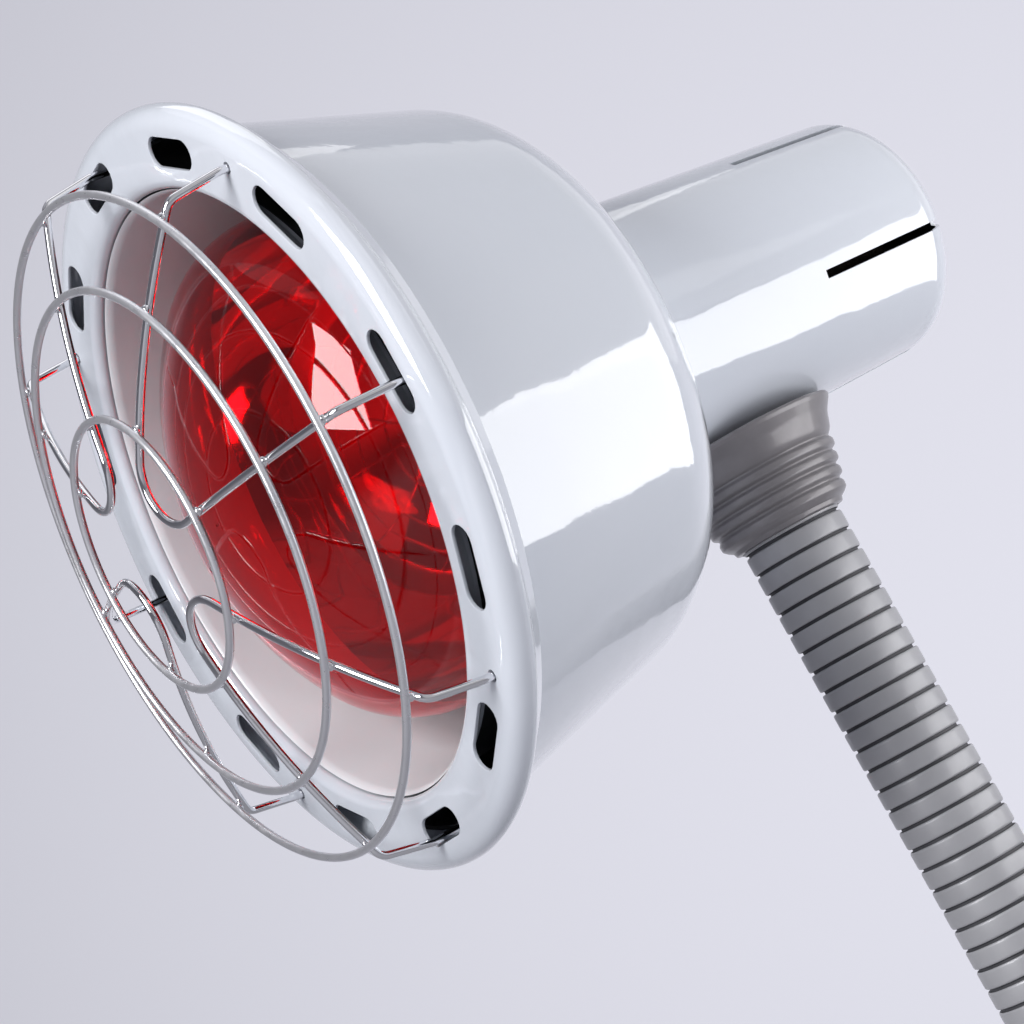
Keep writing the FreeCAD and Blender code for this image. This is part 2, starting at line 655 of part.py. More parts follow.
# ---------------------------------------------------------------- lampholder
def make_lampholder():
    """Ceramic E27 holder with a brass screw shell and a sprung centre contact."""
    body = turned("lampholder_body", [
        ("HolderBore", "-HolderFront - 4"),
        ("HolderBore + 2.4", "-HolderFront"),
        ("HolderRadius - 1.5", "-HolderFront", "1.5", 1),
        ("HolderRadius", "-HolderFront - 1.5"),
        ("HolderRadius", "-HolderBack"),
        ("2", "-HolderBack"),
        ("2", "-HolderFloor"),
        ("HolderBore", "-HolderFloor"),
    ])
    for name, x, y in (("socket_screw_hole", "SocketScrewHalf", "0"), ("terminal_hole", "0", "14")):
        hole = new_sketch(body, name, "XY_Plane", "-HolderBack")
        round_hole(hole, x, y, "1.55")
        cut(body, hole, "2.6", around="2", reverse=True)
    put_on_head(body)
    top = "-CapFront - 2.6"
    inner, outer = "ThreadValley + 1.05", "ThreadValley + 1.65"
    bottom = f"{top} - ThreadPitch * ThreadTurns"
    shell = turned("screw_shell", [
        (inner, f"{top} - ThreadPitch"),
        (outer, f"{top} - ThreadPitch"),
        (outer, bottom),
        (inner, bottom),
    ])
    put_on_head(shell)
    contact = turned("centre_contact", [
        ("0", "-BulbEnd - 0.42"),
        ("5", "-BulbEnd - 0.42"),
        ("5", "-BulbEnd - 1.42"),
        ("1.6", "-BulbEnd - 1.42"),
        ("1.6", "-HolderBack - 2.4"),
        ("0", "-HolderBack - 2.4"),
    ])
    put_on_head(contact)


def make_holder_mounting():
    """Top-hat bracket between the holder and the cup's rear face, with its screws and terminals."""
    plate_top, base_top = "-HolderBack - FitGap", "-CupEnd + SheetWall + FitGap + 1.2"
    base = "-CupEnd + SheetWall + FitGap"
    bracket = doc.addObject("PartDesign::Body", "holder_bracket")
    sketch = new_sketch(bracket, "bracket_profile")
    closed_outline(sketch, [
        ("-19", base),
        ("-10", base),
        ("-10", f"{plate_top} - 1.2"),
        ("10", f"{plate_top} - 1.2"),
        ("10", base),
        ("19", base),
        ("19", base_top),
        ("11.2", base_top),
        ("11.2", plate_top),
        ("-11.2", plate_top),
        ("-11.2", base_top),
        ("-19", base_top),
    ])
    pad = bracket.newObject("PartDesign::Pad", "bracket_pad")
    pad.Profile = sketch
    pad.SideType = "Symmetric"
    pad.Length = 9.0
    keep(bracket, "holder_bracket")
    doc.recompute()
    holes = new_sketch(bracket, "bracket_screw_holes", "XY_Plane", "-HolderBack + 1")
    round_hole(holes, "SocketScrewHalf", "0", "1.6")
    round_hole(holes, "-SocketScrewHalf", "0", "1.6")
    round_hole(holes, "0", "0", "2.4")
    round_hole(holes, "BracketHalf", "0", "1.6")
    round_hole(holes, "-BracketHalf", "0", "1.6")
    cut(bracket, holes, "CupEnd - HolderBack + 2")
    put_on_head(bracket)
    sockets, brackets, terminals = [], [], []
    for x in ("SocketScrewHalf", "-SocketScrewHalf"):
        head = rod("2.8", "1.6", (x, "0", f"{plate_top} - 1.2 - FitGap - 1.6"))
        sockets.append(plus(head, rod("1.5", "4.4", (x, "0", f"{plate_top} - 1.2 - FitGap - 1"))))
    for x in ("BracketHalf", "-BracketHalf"):
        head = rod("2.8", "1.5", (x, "0", "-CupEnd - FitGap - 1.5"))
        nut = hexagon_prism("5.5", "2", (x, "0", f"{base_top} + FitGap"))
        brackets.append(plus(head, nut, rod("1.5", "6.6", (x, "0", "-CupEnd - FitGap - 1"))))
    for y in ("14", "-14"):
        head = rod("2.8", "1.8", ("0", y, "-HolderBack - FitGap - 1.8"))
        terminals.append(plus(head, rod("1.45", "4", ("0", y, "-HolderBack - 1.6"))))
    put_on_head(keep(together(sockets), "socket_screws"))
    put_on_head(keep(together(brackets), "bracket_screws"))
    put_on_head(keep(together(terminals), "terminal_screws"))


def make_head_leads():
    """Live and neutral cores, from the top of the neck to the holder's terminals."""
    for label, x, target in (("live_lead", 1.4, 14.0), ("neutral_lead", -1.4, -14.0)):
        side = math.copysign(1.0, x)
        back, behind = -val("NeckSetback"), -val("HolderBack") - 5.3
        terminal = -val("HolderBack") - 2.4
        above, below = -22.9, -25.4
        points = [
            Vector(x, above - 5.5, back),
            Vector(x, above, back),
            Vector(x, above, back - 8.0),
            Vector(side * 3.0, below, back - 20.0),
            Vector(side * 3.0, below, behind),
            Vector(side * 5.5, target, behind),
            Vector(0.0, target, behind),
            Vector(0.0, target, terminal),
        ]
        shaped_lead = wire_along(bent_path(points, [2.4, 6.0, 6.0, 2.6, 2.4, 1.6]), val("CoreRadius"))
        put_on_head(shaped(label, shaped_lead))


# ---------------------------------------------------------------- guard
def dome(radius):
    """Height of the guard legs' centre line over the bezel at a radius."""
    return f"(DomeTop - ({radius})^2 / (2 * DomeRadius))"


def make_guard_ring(label, radius):
    """A chrome ring welded on the front of the hairpin legs."""
    ring = doc.addObject("Part::Torus", label)
    ring.setExpression("Radius1", linked(radius))
    ring.setExpression("Radius2", linked("WireRadius"))
    lift = f"(2 * WireRadius + FitGap) * sqrt(1 + (({radius}) / DomeRadius)^2)"
    put_on_head(ring, depth=f"-({dome(radius)} + {lift})", clock="GuardClock")
    return keep(ring, label)


def make_hairpin(label, leg_angle):
    """A hairpin wire: up through the bezel, over the dome, round a loop and back down 45 degrees on."""
    dome_radius, dome_top = val("DomeRadius"), val("DomeTop")
    foot, bend, edge = val("LegFoot"), val("LegBend"), val("LegBend") - 4.4

    def at(radius, height, angle):
        turn = math.radians(leg_angle + angle)
        return Vector(radius * math.sin(turn), radius * math.cos(turn), height)

    def on_dome(radius, angle):
        return at(radius, dome_top - radius ** 2 / (2 * dome_radius), angle)

    def leg(angle):
        corner_height = dome_top - edge ** 2 / (2 * dome_radius) - (bend - edge) * edge / dome_radius
        points = [
            at(foot, -val("LegTail"), angle),
            at(foot, val("LegRise"), angle),
            at(bend, corner_height, angle),
            on_dome(edge, angle),
        ]
        return bent_path(points, [4.0, 3.5])

    start = val("LoopStart")
    fillet = start * math.tan(math.radians(22.5))
    centre = start / math.cos(math.radians(22.5))
    across = []
    for k in range(9):
        across.append(on_dome(edge + (start - edge) * k / 9, 0.0))
    for k in range(11):
        around = math.radians(-67.5 + 13.5 * k)
        x, y = centre - fillet * math.cos(around), fillet * math.sin(around)
        across.append(on_dome(math.hypot(x, y), 22.5 + math.degrees(math.atan2(y, x))))
    for k in range(1, 10):
        across.append(on_dome(start + (edge - start) * k / 9, 45.0))
    curve = Part.BSplineCurve()
    slope = edge / dome_radius
    into = at(-1.0, slope, 0.0)
    out = at(1.0, -slope, 45.0)
    curve.interpolate(Points=across, InitialTangent=into, FinalTangent=out)
    edges = leg(0.0) + [curve.toShape()] + list(reversed(leg(45.0)))
    item = shaped(label, wire_along(edges, val("WireRadius")))
    return put_on_head(item, clock="GuardClock")


# ---------------------------------------------------------------- gooseneck
def socket_outline(height):
    """Corners of a ball socket's cavity whose ball centre is at the height, from its floor up to its lip."""
    cavity = "(BallRadius + BallPlay)"
    floor = f"sqrt({cavity}^2 - (LeadBore + 1.4)^2)"
    lip = f"sqrt({cavity}^2 - SocketLip^2)"
    return [
        ("LeadBore + 1.4", f"{height} - {floor}", cavity, -1),
        (lip, f"{height} + SocketLip"),
        ("LinkRadius", f"{height} + SocketLip"),
    ]


def ball_outline():
    """Corners of a ball at height zero, from the link's underside down to the bore."""
    neck = "sqrt(BallRadius^2 - LinkNeck^2)"
    flat = "sqrt(BallRadius^2 - BallFlat^2)"
    return [
        ("LinkRadius", "LinkShoulder + 1.2"),
        ("LinkRadius - 1.6", "LinkShoulder"),
        ("LinkNeck", "LinkShoulder"),
        ("LinkNeck", neck, "BallRadius", 1),
        (flat, "-BallFlat"),
        ("LeadBore + 1.6", "-BallFlat"),
        ("LeadBore", "-BallFlat + 3"),
    ]


def make_flex_link(number):
    """A core link: ball below, socket for the next ball above, bored for the lead."""
    body = turned(f"flex_link_{number}", [
        *ball_outline(),
        ("LeadBore", "LinkPitch - BallRadius - 3.4"),
        *socket_outline("LinkPitch"),
    ])
    return put_on_neck(body, f"FirstJoint + LinkPitch * {number - 1}")


def make_sleeve():
    """Ribbed sleeve over the core, grooved between ribs."""
    top = "LampHeight - TopGroove"
    body = turned("ribbed_sleeve", [
        ("SleeveBore", "CollarHeight + 0.3"),
        ("NeckRadius", "CollarHeight + 0.3"),
        ("NeckRadius", f"{top} + RibPitch"),
        ("SleeveBore", f"{top} + RibPitch"),
    ])
    sketch = new_sketch(body, "rib_groove")
    closed_outline(sketch, [
        ("NeckRadius - RibGroove", f"{top} - GrooveWidth / 4"),
        ("NeckRadius + 0.2", f"{top} - GrooveWidth / 2"),
        ("NeckRadius + 0.2", f"{top} + GrooveWidth / 2"),
        ("NeckRadius - RibGroove", f"{top} + GrooveWidth / 4"),
    ])
    before = body.Shape.Volume
    groove = body.newObject("PartDesign::Groove", "rib_groove_cut")
    groove.Profile = sketch
    groove.ReferenceAxis = (sketch, ["V_Axis"])
    groove.Angle = 360.0
    ribs = body.newObject("PartDesign::LinearPattern", "rib_row")
    ribs.Originals = [groove]
    ribs.Direction = (origin_feature(body, "Z_Axis"), [""])
    ribs.Reversed = True
    ribs.setExpression("Length", linked("RibPitch * (RibCount - 1)"))
    ribs.setExpression("Occurrences", linked("RibCount"))
    body.Tip = ribs
    doc.recompute()
    if body.Shape.Volume > before - 100.0:
        raise RuntimeError("sleeve grooves removed nothing")
    return put_on_neck(body, "0")


def make_neck_base():
    """Lower ferrule, the core's root socket, the stand nipple and the ferrule's set screw."""
    collar = turned("lower_ferrule", [
        ("NippleRadius - 0.1", "0.6"),
        ("NippleRadius + 0.5", "0"),
        ("CollarRadius - 1", "0"),
        ("CollarRadius", "1"),
        ("CollarRadius", "CollarHeight - 1.2"),
        ("CollarRadius - 1.2", "CollarHeight"),
        ("LinkRadius + FitGap", "CollarHeight"),
        ("LinkRadius + FitGap", "CollarFloor"),
        ("NippleRadius - 0.1", "CollarFloor"),
    ])
    screw_hole = new_sketch(collar, "set_screw_hole", "XZ_Plane", "-CollarRadius - 2")
    round_hole(screw_hole, "0", "12", "1.6")
    cut(collar, screw_hole, "CollarRadius + 2 - LinkRadius", reverse=True)
    put_on_neck(collar, "0")
    root = turned("flex_root", [
        ("LinkRadius", "CollarFloor + FitGap"),
        ("NippleRadius - 0.1", "CollarFloor + FitGap"),
        ("NippleRadius - 0.1", "CollarFloor + 12.1"),
        ("LeadBore", "CollarFloor + 12.1"),
        ("LeadBore", "FirstJoint - BallRadius - 3.4"),
        *socket_outline("FirstJoint"),
    ])
    put_on_neck(root, "0")
    nipple = turned("stand_nipple", [
        ("LeadBore", "-NippleLength"),
        ("NippleRadius - 0.6", "-NippleLength"),
        ("NippleRadius", "-NippleLength + 0.6"),
        ("NippleRadius", "0"),
        ("NippleRadius - 0.2", "0"),
        ("NippleRadius - 0.2", "CollarFloor + 12"),
        ("LeadBore", "CollarFloor + 12"),
    ])
    put_on_neck(nipple, "0")
    grub = turned("ferrule_set_screw", [
        ("0", "0"),
        ("1.5", "0"),
        ("1.5", "CollarRadius - LinkRadius - 0.4"),
        ("0", "CollarRadius - LinkRadius - 0.4"),
    ])
    grub.Placement = Placement(Vector(0, 0, 0), Rotation(Vector(1, 0, 0), -90))
    grub.setExpression("Placement.Base.y", linked("LinkRadius + FitGap"))
    grub.setExpression("Placement.Base.z", linked("12"))


def make_neck_top():
    """Upper ferrule with the last ball, the nipple into the cup, its saddle washer and locknut."""
    last = "(FirstJoint + LinkPitch * (JointCount - 1))"
    top = f"LampHeight - 44 - {last}"
    ferrule = turned("upper_ferrule", [
        *ball_outline(),
        ("LeadBore", f"{top} - 7.1"),
        ("NippleRadius + FitGap", f"{top} - 7.1"),
        ("NippleRadius + FitGap", top),
        ("LinkRadius", top),
    ])
    put_on_neck(ferrule, last)
    nipple = turned("upper_nipple", [
        ("LeadBore", "0"),
        ("NippleRadius", "0"),
        ("NippleRadius", "26.6"),
        ("LeadBore", "26.6"),
    ])
    put_on_neck(nipple, "LampHeight - 44 - 7")
    taper = "(CupFront - CupRear) / (CupEnd - CupRound - ShellBack)"
    inside = f"CupFront - SheetWall - {taper} * (NeckSetback - ShellBack)"
    disc = rod("9", "4", ("0", "0", "LampHeight - 33.2"))
    bore = rod("NippleRadius + FitGap", "6", ("0", "0", "LampHeight - 34"))
    lamp_axis = Rotation(Vector(1, 0, 0), 90)
    room = rod(f"{inside} - 0.65", "40", ("0", "20", "LampHeight"), lamp_axis)
    common = doc.addObject("Part::MultiCommon", "saddle")
    common.Shapes = [minus(disc, bore), room]
    keep(common, "saddle_washer")
    nut = minus(hexagon_prism("14", "4.4", ("0", "0", "LampHeight - 29.15")),
                rod("NippleRadius + FitGap", "6", ("0", "0", "LampHeight - 30")))
    keep(nut, "top_locknut")


def make_boot():
    """Ridged boot between cup and sleeve, with a flat rim just under the cup."""
    def below(distance):
        return f"LampHeight - ({distance})"
    outline = [
        ("NippleRadius + 0.3", below("BootTop")),
        ("24.4", below("BootTop")),
        ("24.8", below("BootTop + 0.6")),
        ("22.2", below(38.6)),
        ("20.6", below(43.8)),
    ]
    for ridge, radius in ((44.0, "20.6"), (48.6, "19.4"), (53.2, "18.2")):
        outline.append((f"{radius} - 1.3", below(ridge + 0.7)))
        outline.append((f"{radius} - 1.4", below(ridge + 1.9)))
        outline.append((f"{radius} - 0.3", below(ridge + 2.6), "2.2", 1))
        outline.append((f"{radius} - 1.1", below(ridge + 4.3)))
    outline += [
        ("15.6", below(58.4)),
        ("14.8", below(60)),
        ("NeckRadius + 0.15", below(60)),
        ("NeckRadius + 0.15", below(55.2)),
        ("LinkRadius + 0.15", below(55.2)),
        ("LinkRadius + 0.15", below(43.9)),
        ("NippleRadius + 0.3", below(43.9)),
    ]
    body = turned("boot_blank", outline)
    nodes.remove(body)
    put_on_neck(body, "0")
    slope = "(CupFront - CupRear) / (CupEnd - CupRound - ShellBack)"
    cup = doc.addObject("Part::Cone", "cup_space")
    cup.setExpression("Radius1", linked(f"CupFront + 0.1 - {slope} * (NeckSetback + 30 - ShellBack)"))
    cup.setExpression("Radius2", linked(f"CupFront + 0.1 - {slope} * (NeckSetback - 30 - ShellBack)"))
    cup.setExpression("Height", linked("60"))
    place(cup, ("0", "30", "LampHeight"), HEAD_TURN)
    keep(minus(body, cup), "boot")


def make_neck_lead():
    """Two-core supply lead held all the way inside the gooseneck."""
    lead = rod("LeadRadius", "LampHeight - 28.8 + NippleLength - 1", ("0", "0", "-NippleLength + 1"))
    keep(together([lead]), "neck_lead")


# ---------------------------------------------------------------- assembly and export
make_bezel()
make_bezel_clips()
make_shell()
make_cup()
make_reflector()
make_rivets()
make_bulb_glass()
make_bulb_mirror()
make_bulb_base()
make_bulb_inside()
make_lampholder()
make_holder_mounting()
make_head_leads()
for ring_label, ring_radius in (("guard_ring_outer", "GuardOuter"), ("guard_ring_middle", "GuardMiddle"),
                                ("guard_ring_inner", "GuardInner")):
    make_guard_ring(ring_label, ring_radius)
for pin in range(4):
    make_hairpin(f"guard_hairpin_{pin + 1}", 45.0 + 90.0 * pin)
for link_number in range(1, int(val("JointCount"))):
    make_flex_link(link_number)
make_sleeve()
make_neck_base()
make_neck_top()
make_boot()
make_neck_lead()

doc.recompute()
for item in doc.Objects:
    if any(state in ("Invalid", "Error") for state in item.State):
        raise RuntimeError(f"{item.Label} failed to recompute: {item.State}")
os.makedirs("parts", exist_ok=True)
for item in nodes:
    if item.Shape.isNull() or not item.Shape.isValid() or item.Shape.Volume < 1e-3:
        raise RuntimeError(f"{item.Label} has no valid shape")
    item.Shape.exportStep(f"parts/{item.Label}.step")
    box = item.Shape.optimalBoundingBox(False)
    print(f"{item.Label:20s} {item.Shape.Volume:10.1f} mm3  x {box.XMin:7.1f} {box.XMax:7.1f}  "
          f"y {box.YMin:7.1f} {box.YMax:7.1f}  z {box.ZMin:7.1f} {box.ZMax:7.1f}")
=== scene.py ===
import json
import math

import bmesh
import bpy
from mathutils import Matrix, Vector
from mathutils.geometry import delaunay_2d_cdt


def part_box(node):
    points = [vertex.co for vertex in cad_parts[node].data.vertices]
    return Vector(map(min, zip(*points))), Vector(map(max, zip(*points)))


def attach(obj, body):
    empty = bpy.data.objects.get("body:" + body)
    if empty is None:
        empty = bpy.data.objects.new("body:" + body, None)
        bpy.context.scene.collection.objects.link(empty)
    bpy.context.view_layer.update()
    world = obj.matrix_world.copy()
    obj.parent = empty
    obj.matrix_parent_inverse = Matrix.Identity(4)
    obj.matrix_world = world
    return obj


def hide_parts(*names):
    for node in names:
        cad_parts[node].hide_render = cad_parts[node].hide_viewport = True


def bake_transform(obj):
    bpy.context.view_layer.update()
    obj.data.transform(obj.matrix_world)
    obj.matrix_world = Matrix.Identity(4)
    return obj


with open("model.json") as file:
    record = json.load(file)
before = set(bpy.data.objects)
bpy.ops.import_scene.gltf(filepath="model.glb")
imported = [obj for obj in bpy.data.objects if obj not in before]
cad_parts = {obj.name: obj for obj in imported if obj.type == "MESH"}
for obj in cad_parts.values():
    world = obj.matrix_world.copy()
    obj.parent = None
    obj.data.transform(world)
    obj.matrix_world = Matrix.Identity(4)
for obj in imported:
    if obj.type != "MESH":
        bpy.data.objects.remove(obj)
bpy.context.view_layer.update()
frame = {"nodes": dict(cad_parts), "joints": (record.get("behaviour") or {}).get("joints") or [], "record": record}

# ---------------------------------------------------------------- the frame's main places
low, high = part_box("bezel_ring")
LAMP_Z = (low.z + high.z) / 2.0
FACE_Y = low.y
TAU = 2.0 * math.pi


def head(x, y, z):
    """Point of the head in mm (x to its left, y up, z towards the light) as a point of the row frame."""
    return Vector((x / 1000.0, FACE_Y - z / 1000.0, LAMP_Z + y / 1000.0))


def neck(x, y, z):
    """Point on the neck in mm, z above the shoulder."""
    return Vector((x / 1000.0, y / 1000.0, z / 1000.0))


# ---------------------------------------------------------------- node materials
class Paint:
    """A Principled material with helpers that add procedural detail."""

    def __init__(self, name, colour, **sockets):
        self.material = bpy.data.materials.new(name)
        self.material.use_nodes = True
        self.tree = self.material.node_tree
        self.shader = self.tree.nodes["Principled BSDF"]
        self.shader.inputs["Base Color"].default_value = (*colour, 1.0)
        for socket, value in sockets.items():
            self.shader.inputs[socket.replace("_", " ")].default_value = value
        self.colour = colour
        self.place = self.tree.nodes.new("ShaderNodeTexCoord").outputs["Object"]
        self.bumped = None

    def noise(self, scale, detail=3.0, roughness=0.5, stretch=None):
        """Noise between 0 and 1 in the object's own space, in waves per metre."""
        node = self.tree.nodes.new("ShaderNodeTexNoise")
        node.inputs["Scale"].default_value = scale
        node.inputs["Detail"].default_value = detail
        node.inputs["Roughness"].default_value = roughness
        source = self.place
        if stretch:
            mapping = self.tree.nodes.new("ShaderNodeMapping")
            mapping.inputs["Scale"].default_value = stretch
            self.tree.links.new(source, mapping.inputs["Vector"])
            source = mapping.outputs["Vector"]
        self.tree.links.new(source, node.inputs["Vector"])
        return node.outputs["Fac"]

    def remap(self, value, low, high, start=0.3, end=0.7):
        """Maps a value's range from start to end onto low to high."""
        node = self.tree.nodes.new("ShaderNodeMapRange")
        node.inputs["From Min"].default_value = start
        node.inputs["From Max"].default_value = end
        node.inputs["To Min"].default_value = low
        node.inputs["To Max"].default_value = high
        self.tree.links.new(value, node.inputs["Value"])
        return node.outputs["Result"]

    def tint(self, value, other, start=0.35, end=0.7):
        """Blends the base colour towards another colour by a value."""
        node = self.tree.nodes.new("ShaderNodeMix")
        node.data_type = "RGBA"
        node.inputs["A"].default_value = (*self.colour, 1.0)
        node.inputs["B"].default_value = (*other, 1.0)
        base = self.shader.inputs["Base Color"]
        if base.is_linked:
            self.tree.links.new(base.links[0].from_socket, node.inputs["A"])
        self.tree.links.new(self.remap(value, 0.0, 1.0, start, end), node.inputs["Factor"])
        self.tree.links.new(node.outputs["Result"], base)
        return self

    def rough(self, value, low, high):
        """Lets a value drive the roughness between low and high."""
        self.tree.links.new(self.remap(value, low, high), self.shader.inputs["Roughness"])
        return self

    def bump(self, value, height, strength=1.0, coat=False):
        """Adds surface relief of a height in metres."""
        node = self.tree.nodes.new("ShaderNodeBump")
        node.inputs["Strength"].default_value = strength
        node.inputs["Distance"].default_value = height
        self.tree.links.new(value, node.inputs["Height"])
        if self.bumped:
            self.tree.links.new(self.bumped, node.inputs["Normal"])
        self.bumped = node.outputs["Normal"]
        self.tree.links.new(self.bumped, self.shader.inputs["Normal"])
        if coat:
            self.tree.links.new(self.bumped, self.shader.inputs["Coat Normal"])
        return self


def enamel(name, colour, other):
    """Glossy enamel: slow orange peel under a clear, strongly reflecting surface."""
    paint = Paint(name, colour, Roughness=0.10, Coat_Weight=1.0, Coat_Roughness=0.03, Coat_IOR=1.8)
    paint.tint(paint.noise(14.0, 2.0), other)
    paint.rough(paint.noise(90.0), 0.08, 0.15)
    paint.bump(paint.noise(30.0, 2.5, 0.6), 0.0014, 0.34, coat=True)
    paint.bump(paint.noise(320.0, 2.0), 0.00008, 0.35, coat=True)
    return paint.material


# sheet metal
white_enamel = enamel("white_enamel", (0.680, 0.715, 0.785), (0.705, 0.735, 0.800))
reflector = Paint(
    "reflector_white", (0.76, 0.765, 0.80), Roughness=0.34, Coat_Weight=0.35, Coat_Roughness=0.15)
reflector.tint(reflector.noise(20.0, 2.0), (0.79, 0.79, 0.82)).rough(reflector.noise(120.0), 0.28, 0.42)
reflector.bump(reflector.noise(320.0, 2.0), 0.00008, 0.35, coat=True)

# painted shade: near-black paint for the sheets' hidden sides, standing in for the shade inside the shell, behind
# the reflector and in the cup
hidden_shade_paint = Paint("painted_hidden_shade", (0.022, 0.023, 0.026), Roughness=0.7)
hidden_shade_paint.tint(hidden_shade_paint.noise(90.0), (0.032, 0.033, 0.036)).bump(hidden_shade_paint.noise(500.0), 0.00008, 0.4)

# guard wire: polished hairpins, satin rings
chrome = Paint("guard_chrome", (0.78, 0.78, 0.80), Metallic=1.0, Roughness=0.05)
chrome.rough(chrome.noise(500.0), 0.035, 0.08)
chrome.bump(chrome.noise(900.0, 2.0), 0.00004, 0.3)

satin_chrome = Paint("guard_satin_chrome", (0.74, 0.74, 0.77), Metallic=0.85, Roughness=0.32)
satin_chrome.rough(satin_chrome.noise(400.0), 0.26, 0.38)
satin_chrome.bump(satin_chrome.noise(900.0, 2.0), 0.00004, 0.3)

# bulb
ruby = Paint("ruby_glass", (0.93, 0.030, 0.050), Roughness=0.0, IOR=1.47, Transmission_Weight=1.0)
ruby.tint(ruby.noise(20.0, 2.0), (0.90, 0.020, 0.038))
ruby.bump(ruby.noise(30.0, 1.0), 0.0008, 0.10)

film = Paint("mirror_film", (0.92, 0.90, 0.90), Metallic=1.0, Roughness=0.05)
film.tint(film.noise(60.0), (0.85, 0.82, 0.82))
film.bump(film.noise(22.0, 1.5), 0.0030, 0.35)

cap_metal = Paint("cap_metal", (0.72, 0.71, 0.69), Metallic=1.0, Roughness=0.3)
cap_metal.rough(cap_metal.noise(400.0), 0.2, 0.4).tint(cap_metal.noise(150.0), (0.60, 0.58, 0.55))

black_glass = Paint("black_glass", (0.012, 0.012, 0.014), Roughness=0.1, Coat_Weight=0.5)
black_glass.rough(black_glass.noise(300.0), 0.06, 0.16).tint(black_glass.noise(200.0), (0.03, 0.03, 0.03))

clear_glass = Paint("clear_glass", (0.97, 0.98, 0.98), Roughness=0.0, IOR=1.5, Transmission_Weight=1.0)
clear_glass.bump(clear_glass.noise(200.0), 0.0002, 0.3)

tungsten = Paint("tungsten", (0.34, 0.33, 0.33), Metallic=1.0, Roughness=0.35)
tungsten.bump(tungsten.noise(2500.0), 0.00006, 0.6).tint(tungsten.noise(400.0), (0.22, 0.21, 0.21))

# lampholder, screws and leads
# painted shade: the lampholder's porcelain is coloured near-black, standing in for the shade inside the cup
porcelain = Paint("porcelain", (0.030, 0.024, 0.022), Roughness=0.15, Coat_Weight=0.8, Coat_Roughness=0.05)
porcelain.tint(porcelain.noise(80.0), (0.045, 0.034, 0.028)).bump(porcelain.noise(160.0), 0.0002, 0.3)

brass = Paint("brass_parts", (0.72, 0.50, 0.20), Metallic=1.0, Roughness=0.28)
brass.tint(brass.noise(120.0), (0.52, 0.36, 0.15)).rough(brass.noise(300.0), 0.2, 0.42)

zinc = Paint("zinc_steel", (0.62, 0.62, 0.63), Metallic=1.0, Roughness=0.3)
zinc.tint(zinc.noise(250.0), (0.50, 0.50, 0.53)).rough(zinc.noise(500.0), 0.22, 0.42)
zinc.bump(zinc.noise(700.0), 0.00004, 0.4)

brown = Paint("brown_insulation", (0.13, 0.055, 0.025), Roughness=0.45)
brown.tint(brown.noise(300.0), (0.16, 0.07, 0.035)).bump(brown.noise(900.0), 0.00005, 0.4)
blue = Paint("blue_insulation", (0.025, 0.09, 0.36), Roughness=0.45)
blue.tint(blue.noise(300.0), (0.03, 0.12, 0.42)).bump(blue.noise(900.0), 0.00005, 0.4)
sheath = Paint("lead_sheath", (0.03, 0.03, 0.032), Roughness=0.5)
sheath.tint(sheath.noise(300.0), (0.05, 0.05, 0.05)).bump(sheath.noise(900.0), 0.00006, 0.5)

# boot and gooseneck
boot_grey = Paint("boot_grey", (0.22, 0.208, 0.218), Metallic=0.25, Roughness=0.34, Coat_Weight=0.3)
boot_grey.tint(boot_grey.noise(120.0), (0.19, 0.18, 0.19)).rough(boot_grey.noise(260.0), 0.30, 0.44)
boot_grey.bump(boot_grey.noise(900.0), 0.00005, 0.4)

sleeve_grey = Paint("sleeve_grey", (0.375, 0.375, 0.395), Metallic=0.12, Roughness=0.42, Coat_Weight=0.2)
sleeve_grey.tint(sleeve_grey.noise(90.0), (0.345, 0.345, 0.365)).rough(sleeve_grey.noise(220.0), 0.36, 0.50)
sleeve_grey.bump(sleeve_grey.noise(700.0, stretch=(1.0, 1.0, 6.0)), 0.00005, 0.4)

# painted shade: near-black colour for the bottoms of the sleeve's grooves, standing in for the shade in them
painted_groove_shade = Paint("painted_groove_shade", (0.075, 0.075, 0.085), Metallic=0.1, Roughness=0.6)
painted_groove_shade.tint(painted_groove_shade.noise(200.0), (0.055, 0.055, 0.062))
painted_groove_shade.bump(painted_groove_shade.noise(700.0), 0.00005, 0.4)

satin = Paint("satin_ferrule", (0.60, 0.60, 0.61), Metallic=1.0, Roughness=0.32)
satin.tint(satin.noise(90.0, stretch=(1.0, 1.0, 12.0)), (0.50, 0.50, 0.51))
satin.bump(satin.noise(220.0, stretch=(1.0, 1.0, 14.0)), 0.00005, 0.4)

core_metal = Paint("core_metal", (0.45, 0.45, 0.47), Metallic=1.0, Roughness=0.35)
core_metal.tint(core_metal.noise(100.0), (0.36, 0.36, 0.38)).rough(core_metal.noise(300.0), 0.26, 0.45)

FINISHES = {
    "white_enamel": white_enamel, "reflector_white": reflector.material, "guard_chrome": chrome.material,
    "ruby_glass": ruby.material, "mirror_film": film.material, "cap_metal": cap_metal.material,
    "black_glass": black_glass.material, "clear_glass": clear_glass.material,
    "tungsten": tungsten.material, "porcelain": porcelain.material, "brass_parts": brass.material,
    "zinc_steel": zinc.material, "brown_insulation": brown.material, "blue_insulation": blue.material,
    "lead_sheath": sheath.material, "grey_rubber": boot_grey.material, "grey_sleeve": sleeve_grey.material,
    "satin_ferrule": satin.material, "core_metal": core_metal.material,
}
slot_of = {part["node"]: part["material_slot"] for part in frame["record"]["subparts"]}
bodies = frame["record"]["behaviour"]["bodies"]
body_of = {node: body for body, members in bodies.items() for node in members}
for node, thing in frame["nodes"].items():
    thing.data.materials.clear()
    thing.data.materials.append(FINISHES[slot_of[node]])
    thing.data.shade_smooth()
    thing.data.set_sharp_from_angle(angle=math.radians(32))


